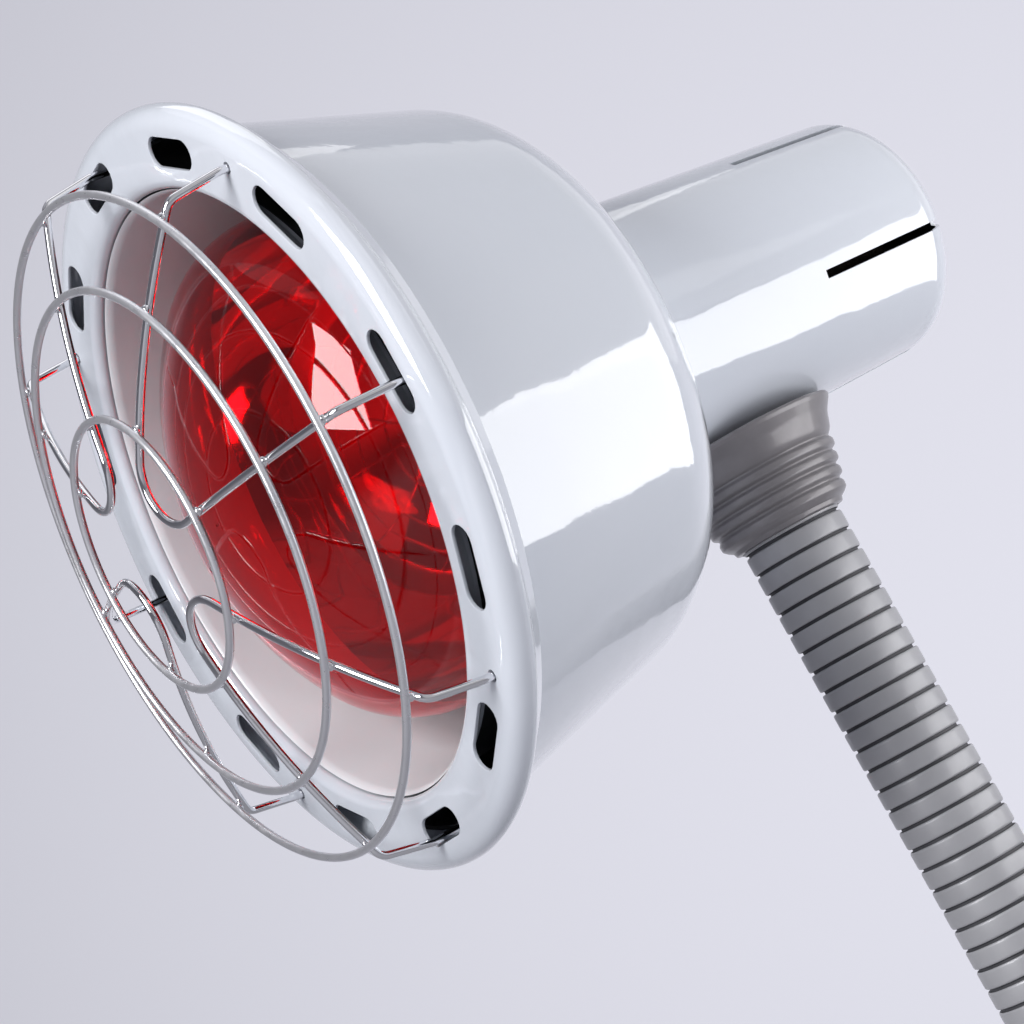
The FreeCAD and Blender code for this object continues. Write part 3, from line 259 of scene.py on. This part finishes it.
# ---------------------------------------------------------------- mesh helpers
def build(name, points, faces, node=None, sharp=32.0):
    """A smooth-shaded mesh piece; given a CAD node, it stands for that node and rides on its body."""
    mesh = bpy.data.meshes.new(name)
    mesh.from_pydata(points, [], faces)
    mesh.validate()
    mesh.shade_smooth()
    mesh.set_sharp_from_angle(angle=math.radians(sharp))
    thing = bpy.data.objects.new(name, mesh)
    bpy.context.scene.collection.objects.link(thing)
    if node:
        mesh.materials.append(FINISHES[slot_of[node]])
        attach(thing, body_of[node])
        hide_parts(node)
    return thing


def rounded(corners, steps=7):
    """Points of a path whose corners (r, z, radius) are rounded by arcs."""
    path = []
    for i, corner in enumerate(corners):
        here = Vector(corner[:2])
        radius = corner[2] if len(corner) > 2 else 0.0
        if radius <= 0.0:
            path.append(here)
            continue
        back = (Vector(corners[i - 1][:2]) - here).normalized()
        ahead = (Vector(corners[(i + 1) % len(corners)][:2]) - here).normalized()
        half = back.angle(ahead) / 2.0
        centre = here + (back + ahead).normalized() * (radius / math.sin(half))
        start = here + back * (radius / math.tan(half)) - centre
        end = here + ahead * (radius / math.tan(half)) - centre
        sweep = start.angle_signed(end)
        count = max(3, int(steps * abs(sweep) / 0.8) + 1)
        for k in range(count + 1):
            path.append(centre + Matrix.Rotation(-sweep * k / count, 2) @ start)
    return path


def lathe_faces(path, segments, place, closed=False):
    """Points and faces of a path turned about the axis; place maps (x, y, z) in mm."""
    points, faces = [], []
    for r, z in path:
        for k in range(segments):
            turn = TAU * k / segments
            points.append(place(r * math.sin(turn), r * math.cos(turn), z))
    rows = len(path) if closed else len(path) - 1
    for i in range(rows):
        a, b = i * segments, ((i + 1) % len(path)) * segments
        for k in range(segments):
            n = (k + 1) % segments
            faces.append((a + k, a + n, b + n, b + k))
    return points, faces


def turned(name, node, path, place=head, segments=192, closed=True, **more):
    """A lathed piece that stands for a CAD node."""
    points, faces = lathe_faces(path, segments, place, closed)
    return build(name, points, faces, node, **more)


def tube_faces(path, radius, sides=14, closed=False):
    """Points and faces of a round wire along points; open ends are domed."""
    count = len(path)
    tangents = []
    for i in range(count):
        before = path[i - 1] if i or closed else path[i]
        after = path[(i + 1) % count] if i < count - 1 or closed else path[i]
        tangents.append((after - before).normalized())
    normal = tangents[0].orthogonal().normalized()
    rings = []
    for i in range(count):
        normal = (normal - tangents[i] * normal.dot(tangents[i])).normalized()
        rings.append((path[i], tangents[i], normal.copy(), radius))
    if not closed:
        first, last = rings[0], rings[-1]
        lead, tail = [], []
        for angle in (0.35, 0.7, 1.05, 1.4):
            out, size = radius * math.sin(angle), radius * math.cos(angle)
            lead.insert(0, (first[0] - first[1] * out, first[1], first[2], size))
            tail.append((last[0] + last[1] * out, last[1], last[2], size))
        rings = lead + rings + tail
    points, faces = [], []
    for centre, tangent, across, size in rings:
        other = tangent.cross(across)
        for k in range(sides):
            turn = TAU * k / sides
            points.append(centre + (across * math.cos(turn) + other * math.sin(turn)) * size)
    shift = 0
    if closed:
        first, last = points[:sides], points[-sides:]
        shift = min(range(sides), key=lambda s: (first[s] - last[0]).length)
    for i in range(len(rings) - (0 if closed else 1)):
        a, b = i * sides, ((i + 1) % len(rings)) * sides
        turn = shift if closed and i == len(rings) - 1 else 0
        for k in range(sides):
            n = (k + 1) % sides
            faces.append((a + k, a + n, b + (n + turn) % sides, b + (k + turn) % sides))
    if not closed:
        faces.append(tuple(reversed(range(sides))))
        faces.append(tuple(range(len(points) - sides, len(points))))
    return points, faces


def obround(angle, radius, length, width, grow=0.0, steps=9):
    """Outline of a slot across a radius, at a clockwise angle from the top, grown outwards."""
    half, flat = width / 2.0 + grow, (length - width) / 2.0
    outline = []
    for side in (1, -1):
        for k in range(steps + 1):
            turn = math.pi * k / steps
            outline.append((side * (flat + half * math.sin(turn)), radius + side * half * math.cos(turn)))
    out = (math.sin(angle), math.cos(angle))
    along = (math.cos(angle), -math.sin(angle))
    return [(along[0] * u + out[0] * v, along[1] * u + out[1] * v) for u, v in outline]


def circle(angle, radius, size, steps=20):
    """Outline of a round hole at a clockwise angle from the top."""
    x, y = radius * math.sin(angle), radius * math.cos(angle)
    turns = [TAU * k / steps for k in range(steps)]
    return [(x + size * math.cos(turn), y + size * math.sin(turn)) for turn in turns]


def weld(thing, distance):
    """Joins points that share a place, and turns the faces outwards."""
    work = bmesh.new()
    work.from_mesh(thing.data)
    bmesh.ops.remove_doubles(work, verts=work.verts, dist=distance)
    bmesh.ops.recalc_face_normals(work, faces=work.faces)
    work.to_mesh(thing.data)
    work.free()
    thing.data.shade_smooth()
    thing.data.set_sharp_from_angle(angle=math.radians(40))


def soften(thing):
    """Lets the big flat faces set the shading at their edges."""
    modifier = thing.modifiers.new("face_weight", "WEIGHTED_NORMAL")
    modifier.keep_sharp = True
    modifier.weight = 90


def paint_hidden_shade(thing, sign):
    """Painted shade: near-black paint on a sheet's hidden side, standing in for the shade there: inner and front
    for sign -1, outer and rear for 1.
    """
    thing.data.materials.append(hidden_shade_paint.material)
    for face in thing.data.polygons:
        out = Vector((face.center.x, 0.0, face.center.z - LAMP_Z)).normalized()
        if face.normal.dot(out) * sign > 0.2 or face.normal.y * sign > 0.5:
            face.material_index = 1


# ---------------------------------------------------------------- bezel
GUARD_TURN = math.radians(2.0)
MOUTH, RIM, SEGMENTS = 75.8, 95.0, 240
EDGE_WIDE, EDGE_DEEP = 5.2, 4.6
FLAT_IN, FLAT_OUT = MOUTH + 2.6, RIM - EDGE_WIDE


def make_bezel():
    """Rolled lip, slotted face, rounded edge and necked skirt in one sheet."""
    holes = []
    for k in range(12):
        holes.append([obround(TAU * k / 12, 84.7, 19.4, 7.0, grow) for grow in (0.45, 0.14, 0.0)])
    for k in range(4):
        angle = math.radians(45 + 90 * k) + GUARD_TURN
        holes.append([circle(angle, 86.9, 1.35 + grow) for grow in (0.3, 0.1, 0.0)])
    rings = [[(r * math.sin(TAU * k / SEGMENTS), r * math.cos(TAU * k / SEGMENTS)) for k in range(SEGMENTS)]
             for r in (FLAT_IN, FLAT_OUT)]
    flat, edges = [], []
    for loop in rings + [hole[0] for hole in holes]:
        start = len(flat)
        flat += [Vector(p) for p in loop]
        edges += [(start + i, start + (i + 1) % len(loop)) for i in range(len(loop))]
    spots, _, faces, _, _, _ = delaunay_2d_cdt(flat, edges, [], 0, 1e-6)
    centres = []
    for loop, *_ in holes:
        total = Vector((sum(p[0] for p in loop), sum(p[1] for p in loop)))
        centres.append((total / len(loop), loop))

    def inside(point, loop):
        found = False
        for i, (x0, y0) in enumerate(loop):
            x1, y1 = loop[i - 1]
            if (y0 > point.y) != (y1 > point.y):
                if point.x < (x1 - x0) * (point.y - y0) / (y1 - y0) + x0:
                    found = not found
        return found

    kept = []
    for face in faces:
        middle = sum((spots[i] for i in face), Vector((0.0, 0.0))) / len(face)
        if not FLAT_IN * 0.9995 < middle.length < FLAT_OUT:
            continue
        if any((middle - c).length < 11.0 and inside(middle, loop) for c, loop in centres):
            continue
        kept.append(face)
    points = [head(p.x, p.y, 0.0) for p in spots]
    mesh_faces = [tuple(face) for face in kept]
    under = len(points)
    points += [head(p.x, p.y, -1.0) for p in spots]
    mesh_faces += [tuple(under + i for i in reversed(face)) for face in kept]
    for hole in holes:
        rows = [(hole[0], 0.0), (hole[1], -0.09), (hole[2], -0.4), (hole[2], -0.8), (hole[0], -1.0)]
        count, start = len(hole[0]), len(points)
        for loop, z in rows:
            points += [head(x, y, z) for x, y in loop]
        for i in range(len(rows) - 1):
            for k in range(count):
                n = (k + 1) % count
                a, b = start + i * count, start + (i + 1) * count
                mesh_faces.append((a + k, b + k, b + n, a + n))
    lip = rounded([
        (MOUTH + 1.0, -6.0), (MOUTH + 0.5, -6.4), (MOUTH, -6.0), (MOUTH, 0.0, 2.6), (FLAT_IN, 0.0),
    ])
    lip_back = rounded([(FLAT_IN, -1.0), (MOUTH + 1.0, -1.0, 1.6), (MOUTH + 1.0, -6.0)])
    outer = []
    for k in range(18):
        turn = math.pi / 2.0 * k / 17
        outer.append(Vector((FLAT_OUT + EDGE_WIDE * math.sin(turn), -EDGE_DEEP * (1.0 - math.cos(turn)))))
    outer += rounded([(RIM, -4.7), (RIM - 0.3, -6.2, 2.4), (90.4, -9.0, 4.5), (88.0, -12.4, 1.2),
                      (87.15, -12.75), (87.15, -11.8)], 10)
    inner = rounded([
        (87.15, -11.8), (89.6, -8.4, 4.5), (RIM - 1.3, -5.4, 3.0), (RIM - 1.0, -1.0, 4.0), (FLAT_OUT, -1.0),
    ])
    for path in (lip_back[::-1] + lip[1:], outer + inner[1:]):
        more, quads = lathe_faces(path, SEGMENTS, head)
        start = len(points)
        points += more
        mesh_faces += [tuple(start + i for i in face) for face in quads]
    thing = build("bezel", points, mesh_faces, "bezel_ring", sharp=40.0)
    weld(thing, 0.00001)
    soften(thing)
    return thing


make_bezel()

# ---------------------------------------------------------------- shell and reflector
shell_path = rounded([
    (86.0, -9.0), (86.5, -8.8), (87.0, -9.0), (87.0, -12.6, 4.0), (68.25, -87.1, 28.0), (36.3, -87.1, 0.0),
    (36.3, -86.1), (67.4, -86.1, 27.0), (86.0, -12.8, 4.0),
], 10)
shade = turned("shade", "outer_shell", shell_path, segments=256, sharp=50.0)
weld(shade, 0.000001)
# painted shade on the shell's inner side
paint_hidden_shade(shade, -1)

reflector_path = rounded([
    (75.72, -3.1), (75.45, -2.7), (74.9, -3.2), (74.4, -5.0),
    (72.1, -36.0, 0.0), (69.2, -52.0, 20.0), (57.4, -74.5, 30.0), (46.0, -84.2, 6.0), (37.2, -84.2),
    (37.2, -85.0), (46.2, -85.0, 6.0), (58.1, -74.9, 30.0), (70.0, -52.0, 20.0), (72.9, -36.0, 0.0),
], 10)
funnel = turned("funnel", "inner_reflector", reflector_path, segments=224, sharp=50.0)
weld(funnel, 0.000001)
# painted shade on the reflector's outer and rear side
paint_hidden_shade(funnel, 1)


# ---------------------------------------------------------------- socket cup with slits
def make_cup():
    """Tapered cup whose rear edge is rounded, slit along its sides."""
    outer = rounded([(45.5, -86.05), (36.0, -86.05, 0.6), (31.55, -192.0, 11.0), (13.0, -192.0)], 14)
    spaced = []
    for i, here in enumerate(outer[:-1]):
        after = outer[i + 1]
        count = max(1, int((after - here).length / 1.4))
        spaced += [here.lerp(after, k / count) for k in range(count)]
    spaced.append(outer[-1])
    lengths = [0.0]
    for a, b in zip(spaced, spaced[1:]):
        lengths.append(lengths[-1] + (b - a).length)
    slit_front, slit_half = -147.0, 1.1
    centres = [math.pi + TAU * k / 5 for k in range(5)]
    offsets = [-1.9, -1.5, -1.22, -1.1]
    columns = []
    for centre in centres:
        columns += [(centre, u) for u in offsets]
        columns += [(centre, u) for u in (-0.62, 0.0, 0.62)]
        columns += [(centre, -u) for u in reversed(offsets)]
        gap = TAU / 5
        for k in range(1, 30):
            columns.append((centre + gap * (0.03 + 0.94 * k / 30), None))
    points, faces, grid = [], [], {}
    rows = len(spaced)

    def spot(i, j, inset):
        r, z = spaced[i]
        angle, u = columns[j]
        before, after = spaced[max(i - 1, 0)], spaced[min(i + 1, rows - 1)]
        along = (after - before).normalized()
        normal = Vector((-along.y, along.x))
        r0, z0 = r - normal.x * inset, z - normal.y * inset
        turn = angle if u is None else angle + math.asin(max(-1.0, min(1.0, u / max(r0, 3.0))))
        return head(r0 * math.sin(turn), r0 * math.cos(turn), z0)

    def open_at(i, j):
        """Whether the cell after row i and column j lies in a slit."""
        a, b = columns[j], columns[(j + 1) % len(columns)]
        if a[1] is None or b[1] is None or a[0] != b[0]:
            return False
        middle = (a[1] + b[1]) / 2.0
        if abs(middle) > slit_half:
            return False
        r, z = (spaced[i] + spaced[i + 1]) / 2.0
        start = slit_front - slit_half + math.sqrt(max(slit_half ** 2 - middle ** 2, 0.0))
        return z < start and r > 23.5

    for layer, inset in enumerate((0.0, 1.0)):
        for i in range(rows):
            for j in range(len(columns)):
                grid[layer, i, j] = len(points)
                points.append(spot(i, j, inset))
    count = len(columns)
    for i in range(rows - 1):
        for j in range(count):
            n = (j + 1) % count
            if open_at(i, j):
                for di, dj, (a, b) in ((-1, 0, ((i, j), (i, n))), (1, 0, ((i + 1, n), (i + 1, j))),
                                       (0, -1, ((i + 1, j), (i, j))), (0, 1, ((i, n), (i + 1, n)))):
                    ni, nj = i + di, (j + dj) % count
                    if 0 <= ni < rows - 1 and not open_at(ni, nj):
                        faces.append((grid[0, a[0], a[1]], grid[0, b[0], b[1]],
                                      grid[1, b[0], b[1]], grid[1, a[0], a[1]]))
                continue
            faces.append((grid[0, i, j], grid[0, i + 1, j], grid[0, i + 1, n], grid[0, i, n]))
            faces.append((grid[1, i, j], grid[1, i, n], grid[1, i + 1, n], grid[1, i + 1, j]))
    faces.append(tuple(grid[0, rows - 1, j] for j in range(count)))
    faces.append(tuple(grid[1, rows - 1, j] for j in reversed(range(count))))
    thing = build("cup", points, faces, "socket_cup", sharp=40.0)
    weld(thing, 0.000001)
    # painted shade on the cup's inner side, seen through the slits
    paint_hidden_shade(thing, -1)
    return thing


make_cup()


# ---------------------------------------------------------------- bulb envelope and its mirror film
def arc_points(centre, radius, start, end, count):
    """Points of an arc between two angles, both ends included."""
    x, z = centre
    turns = [start + (end - start) * k / count for k in range(count + 1)]
    return [Vector((x + radius * math.cos(turn), z + radius * math.sin(turn))) for turn in turns]


BULB_WIDE, BULB_R = -24.0, 62.5
FACE_R, EDGE_R, FLANK_R, WAIST_R = 85.0, 24.0, 60.0, 62.8


def bulb_path(inset, with_face=True):
    """Outline of the bulb's surface, inset from the outside, from its apex back to its neck."""
    edge, flank = BULB_R - EDGE_R, BULB_R - FLANK_R
    rise = math.sqrt((FACE_R - EDGE_R) ** 2 - edge ** 2)
    tip = math.atan2(rise, edge)
    turn, taper = math.radians(48.6), math.radians(3.0)
    path = []
    if with_face:
        path += arc_points((0.0, BULB_WIDE - rise), FACE_R - inset, math.pi / 2 - 0.004, tip, 36)
        path += arc_points((edge, BULB_WIDE), EDGE_R - inset, tip, 0.0, 18)[1:]
        path += arc_points((flank, BULB_WIDE), FLANK_R - inset, 0.0, -turn, 20)[1:]
    else:
        path += arc_points((flank, BULB_WIDE), FLANK_R - inset, 0.0, -turn, 26)
    reach = FLANK_R + WAIST_R
    waist = (flank + reach * math.cos(turn), BULB_WIDE - reach * math.sin(turn))
    path += arc_points(waist, WAIST_R + inset, math.pi - turn, math.pi - taper, 18)[1:]
    return path


outer = bulb_path(0.0) + rounded([(20.9, -114.0), (19.9, -131.0, 7.0), (14.0, -139.6, 2.0), (13.6, -140.2)])
inner = bulb_path(1.2) + rounded([(19.7, -114.0), (18.7, -131.0, 6.0), (12.8, -139.3, 2.0), (12.4, -140.2)])
turned("envelope", "bulb_glass", outer + inner[::-1], segments=192, closed=False, sharp=60.0)
film_path = bulb_path(1.26, False) + bulb_path(1.40, False)[::-1]
turned("silvering", "bulb_mirror", film_path, segments=160, sharp=60.0)


# ---------------------------------------------------------------- guard
DOME_R, DOME_TOP = 207.0, 32.2
LOOP_START = 25.5
WIRE, WELD_R, WELD_HIGH = 0.001, 0.00125, 0.00085


def dome(radius):
    """Height of the hairpins' centre line at a radius."""
    return DOME_TOP - radius ** 2 / (2.0 * DOME_R)


def ring_height(radius):
    """Height of a ring that lies on top of the hairpins."""
    return dome(radius) + 2.05 * math.sqrt(1.0 + (radius / DOME_R) ** 2)


def at(radius, height, angle):
    """Point of the head at a radius, a height and a clockwise angle from the top."""
    return head(radius * math.sin(angle), radius * math.cos(angle), height)


def make_ring(name, radius):
    path = [at(radius, ring_height(radius), TAU * k / 160) for k in range(160)]
    points, faces = tube_faces(path, WIRE, closed=True)
    thing = build(name, points, faces, name, sharp=80.0)
    thing.data.materials[0] = satin_chrome.material
    return thing


def make_hairpin(name, angle):
    """Leg through the bezel, over the dome, round the loop and back down an eighth of a turn on."""
    edge, bend, foot = 80.0, 84.4, 86.9
    corner = dome(edge) - (bend - edge) * edge / DOME_R
    side = rounded([(foot, -6.0), (foot, 2.0, 4.0), (bend, corner, 3.5), (edge, dome(edge))], 6)
    path = [at(r, z, angle) for r, z in side[:-1]]
    run = [edge + (LOOP_START - edge) * k / 24 for k in range(24)]
    path += [at(r, dome(r), angle) for r in run]
    fillet = LOOP_START * math.tan(math.pi / 8)
    centre = LOOP_START / math.cos(math.pi / 8)
    for k in range(25):
        around = math.radians(-67.5 + 135.0 * k / 24)
        x, y = centre - fillet * math.cos(around), fillet * math.sin(around)
        path.append(at(math.hypot(x, y), dome(math.hypot(x, y)), angle + math.pi / 8 + math.atan2(y, x)))
    path += [at(r, dome(r), angle + math.pi / 4) for r in reversed(run[1:])]
    path += [at(r, z, angle + math.pi / 4) for r, z in reversed(side)]
    points, faces = tube_faces(path, WIRE)
    return build(name, points, faces, name, sharp=80.0)


RINGS = {"guard_ring_outer": 81.2, "guard_ring_middle": 61.2, "guard_ring_inner": 33.0}
for ring_name, ring_radius in RINGS.items():
    make_ring(ring_name, ring_radius)
for pin in range(4):
    make_hairpin(f"guard_hairpin_{pin + 1}", math.radians(45 + 90 * pin) + GUARD_TURN)


def make_welds():
    """Small fused beads where the rings cross the hairpins."""
    points, faces = [], []
    for radius in RINGS.values():
        for k in range(8):
            angle = math.radians(45 * k) + GUARD_TURN
            middle = (at(radius, dome(radius), angle) + at(radius, ring_height(radius), angle)) / 2.0
            out = (at(radius + 1, dome(radius + 1), angle) - at(radius, dome(radius), angle)).normalized()
            up = Vector((0.0, -1.0, 0.0))
            across = out.cross(up).normalized()
            start = len(points)
            for i in range(9):
                lift = math.pi * i / 8
                for j in range(14):
                    turn = TAU * j / 14
                    flat = (out * math.cos(turn) + across * math.sin(turn)) * (WELD_R * math.sin(lift))
                    points.append(middle + up * (WELD_HIGH * math.cos(lift)) + flat)
            for i in range(8):
                for j in range(14):
                    n = (j + 1) % 14
                    a, b = start + i * 14, start + (i + 1) * 14
                    faces.append((a + j, a + n, b + n, b + j))
    thing = build("guard_welds", points, faces, sharp=80.0)
    thing.data.materials.append(chrome.material)
    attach(thing, "guard")
    weld(thing, 0.0000001)


make_welds()

# ---------------------------------------------------------------- boot
LAMP_MM = LAMP_Z * 1000.0
BOOT_TOP = 33.8
NECK_SETBACK, SHELL_BACK = 122.5, 87.1
CUP_FRONT, CUP_REAR, CUP_END, CUP_ROOM = 36.0, 31.8, 181.0, 0.1


def make_boot():
    """Bell of the boot: a flat rim just under the cup, a smooth flank and squeezed ridges."""
    def below(distance):
        return LAMP_MM - distance

    path = [(radius, below(BOOT_TOP)) for radius in (8.0, 14.0, 20.0, 23.6)]
    path += [(24.5, below(BOOT_TOP), 0.3), (24.8, below(34.5), 0.4), (24.4, below(35.4), 1.0),
             (22.5, below(38.2), 8.0), (20.9, below(42.8), 5.0)]
    for ridge, radius in ((43.8, 20.5), (47.3, 19.6), (50.8, 18.7), (54.3, 17.8)):
        path.append((radius - 1.0, below(ridge), 0.5))
        path.append((radius - 0.2, below(ridge + 1.1), 0.9))
        path.append((radius - 0.3, below(ridge + 2.6), 0.9))
    path += [(16.4, below(57.9), 0.5), (15.3, below(58.6), 0.5), (14.9, below(59.7), 0.3),
             (13.55, below(60.0)), (13.5, below(56.0)), (13.5, below(52.0))]
    points, faces = lathe_faces(rounded(path, 6), 160, neck)
    slope = (CUP_FRONT - CUP_REAR) / (CUP_END - SHELL_BACK)
    for point in points:
        depth = NECK_SETBACK + point.y * 1000.0
        reach = CUP_FRONT + CUP_ROOM - slope * (depth - SHELL_BACK)
        under_cup = LAMP_MM - math.sqrt(reach ** 2 - (point.x * 1000.0) ** 2)
        point.z = min(point.z, under_cup / 1000.0)
    return build("boot_bell", points, faces, "boot", sharp=45.0)


make_boot()

# ---------------------------------------------------------------- ribbed sleeve, one length per joint
JOINTS = [j for j in frame["joints"] if j["name"].startswith("neck_bend")]
RIB, TOP_GROOVE, GROOVES_BELOW = 5.49, LAMP_MM - 61.0, 38
GROOVE_RADIUS, GROOVE_SHADE_RADIUS, LEAD_RADIUS = 12.3, 0.0130, 3.0
RIB_PROFILE = (
    (0.0, GROOVE_RADIUS), (0.36, GROOVE_RADIUS), (0.40, 12.7), (0.42, 12.95), (0.52, 13.12), (0.74, 13.25),
    (1.1, 13.3), (2.7, 13.3), (4.39, 13.3), (4.75, 13.25), (4.97, 13.12), (5.07, 12.95), (5.09, 12.7),
    (5.13, GROOVE_RADIUS),
)
# lengths 4 and 5 take a branch of their own, which bakes their transform as for the others
FROM_ABOVE = (3, 4)


def sleeve_rows(start, end):
    """Profile of the sleeve from groove bottom to groove bottom."""
    rows = []
    low_end, high_end = (corner.z * 1000.0 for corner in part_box("ribbed_sleeve"))
    count = int(round((end - start) / RIB))
    for k in range(count):
        bottom = start + RIB * k
        rows += [(r, bottom + z) for z, r in RIB_PROFILE]
    rows.append((GROOVE_RADIUS, start + RIB * count))
    return [(r, z) for r, z in rows if low_end - 0.01 <= z <= high_end + 0.01]


def make_bending(name, node, rows_between, sides, sharp, groove=None):
    """A piece of the neck in lengths, one for each joint, cut at the grooves."""
    heights = [joint["pos_m"][2] * 1000.0 for joint in JOINTS]
    grooves = [TOP_GROOVE - RIB * k for k in range(-1, GROOVES_BELOW + 1)]
    cuts = [min(grooves)]
    for a, b in zip(heights, heights[1:]):
        cuts.append(min(grooves, key=lambda groove: abs(groove - (a + b) / 2.0)))
    cuts.append(max(grooves))
    for i, height in enumerate(heights):
        rows = rows_between(cuts[i], cuts[i + 1])
        points, faces = lathe_faces([Vector(row) for row in rows], sides, neck)
        thing = build(f"{name}_{i + 1}", points, faces, sharp=sharp)
        thing.data.materials.append(FINISHES[slot_of[node]])
        if i in FROM_ABOVE:
            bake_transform(thing)
        else:
            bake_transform(thing)
        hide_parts(node)
        # painted shade: faces of the sleeve lying deep in the grooves get the near-black groove material, standing
        # in for the shade there
        if groove:
            thing.data.materials.append(groove.material)
            for face in thing.data.polygons:
                if Vector(face.center.xy).length < GROOVE_SHADE_RADIUS:
                    face.material_index = 1


def lead_rows(start, end):
    """Profile of the supply lead over one length of the neck; the outer lengths reach its ends."""
    low_end, high_end = (corner.z * 1000.0 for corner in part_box("neck_lead"))
    first = low_end if start == TOP_GROOVE - RIB * GROOVES_BELOW else start
    last = high_end if end == TOP_GROOVE + RIB else end
    count = int((last - first) / 2.0)
    rows = [(LEAD_RADIUS, first + (last - first) * k / count) for k in range(count + 1)]
    if first == low_end:
        rows.insert(0, (0.01, first))
    if last == high_end:
        rows.append((0.01, last))
    return rows


make_bending("sleeve", "ribbed_sleeve", sleeve_rows, 96, 50.0, painted_groove_shade)
make_bending("supply_lead", "neck_lead", lead_rows, 24, 60.0)

# ---------------------------------------------------------------- lower ferrule
ferrule_path = rounded([
    (4.95, 0.0), (15.0, 0.0, 1.0), (15.0, 20.2, 0.4), (14.6, 20.6, 0.3), (14.6, 21.6, 0.3),
    (15.0, 22.0, 0.4), (15.0, 28.6, 1.2), (11.3, 28.6, 0.3), (11.3, 4.0), (4.95, 4.0),
])
turned("ferrule", "lower_ferrule", ferrule_path, neck, 128, sharp=40.0)


# ---------------------------------------------------------------- floor, backdrop, lights and camera
# the camera looks along VIEW, with SIDE to its right and RISE upwards
VIEW = Vector((-0.8733, 0.4733, 0.1157)).normalized()
SIDE = Vector((0.3692, 0.7977, -0.4768))
SIDE = (SIDE - VIEW * SIDE.dot(VIEW)).normalized()
RISE = SIDE.cross(VIEW)
CENTRE = head(0.0, 0.0, -20.0)
AIM = (VIEW + SIDE * 0.3).normalized()


def make_stage():
    """Pale floor that sweeps up into a backdrop and glows on the side behind the lamp."""
    path = rounded([(0.001, -14.0), (2600.0, -14.0, 1400.0), (2600.0, 4200.0)], 16)
    points, faces = lathe_faces(path, 96, neck)
    mesh = bpy.data.meshes.new("cove")
    mesh.from_pydata(points, [], faces)
    mesh.shade_smooth()
    thing = bpy.data.objects.new("cove", mesh)
    bpy.context.scene.collection.objects.link(thing)
    paint = Paint("cove_paint", (0.29, 0.29, 0.31), Roughness=0.95, Specular_IOR_Level=0.05)
    vector = paint.place
    for operation, amount in (("SUBTRACT", CENTRE), ("NORMALIZE", None), ("DOT_PRODUCT", AIM)):
        node = paint.tree.nodes.new("ShaderNodeVectorMath")
        node.operation = operation
        paint.tree.links.new(vector, node.inputs[0])
        if amount:
            node.inputs[1].default_value = amount
        vector = node.outputs["Value" if operation == "DOT_PRODUCT" else "Vector"]
    glow = paint.remap(vector, 0.03, 0.63, 0.50, 1.0)
    paint.tree.links.new(glow, paint.shader.inputs["Emission Strength"])
    paint.shader.inputs["Emission Color"].default_value = (0.94, 0.94, 1.04, 1.0)
    mesh.materials.append(paint.material)


make_stage()


def softbox(name, offset, facing, width, height, radiance, lean=0.0):
    """A rectangular panel at an offset from the lamp; its width runs along the camera's view."""
    data = bpy.data.lights.new(name, "AREA")
    data.shape = "RECTANGLE"
    data.size, data.size_y = width, height
    data.energy = radiance * math.pi * width * height
    thing = bpy.data.objects.new(name, data)
    thing.visible_camera = False
    normal = facing.normalized()
    across = (VIEW - normal * VIEW.dot(normal)).normalized()
    across.rotate(Matrix.Rotation(lean, 3, normal))
    upward = (-normal).cross(across)
    turn = Matrix((across, upward, -normal)).transposed().to_4x4()
    thing.matrix_world = Matrix.Translation(CENTRE + offset) @ turn
    bpy.context.scene.collection.objects.link(thing)
    return thing


KEY = Vector((0.28, -0.86, 0.40)).normalized()
TOP = Vector((-0.2, 0.3, 1.0)).normalized()
FILL = Vector((0.45, 0.80, 0.40)).normalized()
FRONT = (RISE * 0.7 + SIDE * 0.25 - VIEW).normalized()
softbox("side_panel", SIDE * 0.36 - VIEW * 0.085 + RISE * 0.045, -SIDE, 0.35, 0.205, 2.9, math.radians(-12))
softbox("key_panel", KEY * 1.35, -KEY, 0.56, 0.85, 14.0)
softbox("top_panel", TOP * 1.9, -TOP, 1.3, 1.3, 0.9)
softbox("fill_panel", FILL * 1.4, -FILL, 2.4, 2.0, 0.46)
softbox("front_panel", FRONT * 1.6, -FRONT, 2.4, 2.2, 0.34)

world = bpy.data.worlds.new("studio")
world.use_nodes = True
world.node_tree.nodes["Background"].inputs["Color"].default_value = (0.90, 0.91, 1.0, 1.0)
world.node_tree.nodes["Background"].inputs["Strength"].default_value = 0.45
bpy.context.scene.world = world
bpy.context.scene.view_settings.view_transform = "Standard"

camera_data = bpy.data.cameras.new("camera")
camera = bpy.data.objects.new("camera", camera_data)
bpy.context.scene.collection.objects.link(camera)
camera_data.sensor_width = 36.0
camera_data.lens = 103.19
camera_data.shift_x, camera_data.shift_y = 0.0164, -0.0026
camera_data.clip_end = 50.0
turn = Matrix((SIDE, RISE, -VIEW)).transposed().to_4x4()
camera.matrix_world = Matrix.Translation((0.6117, -0.4020, LAMP_Z - 0.1049)) @ turn
bpy.context.scene.camera = camera

bpy.context.view_layer.update()
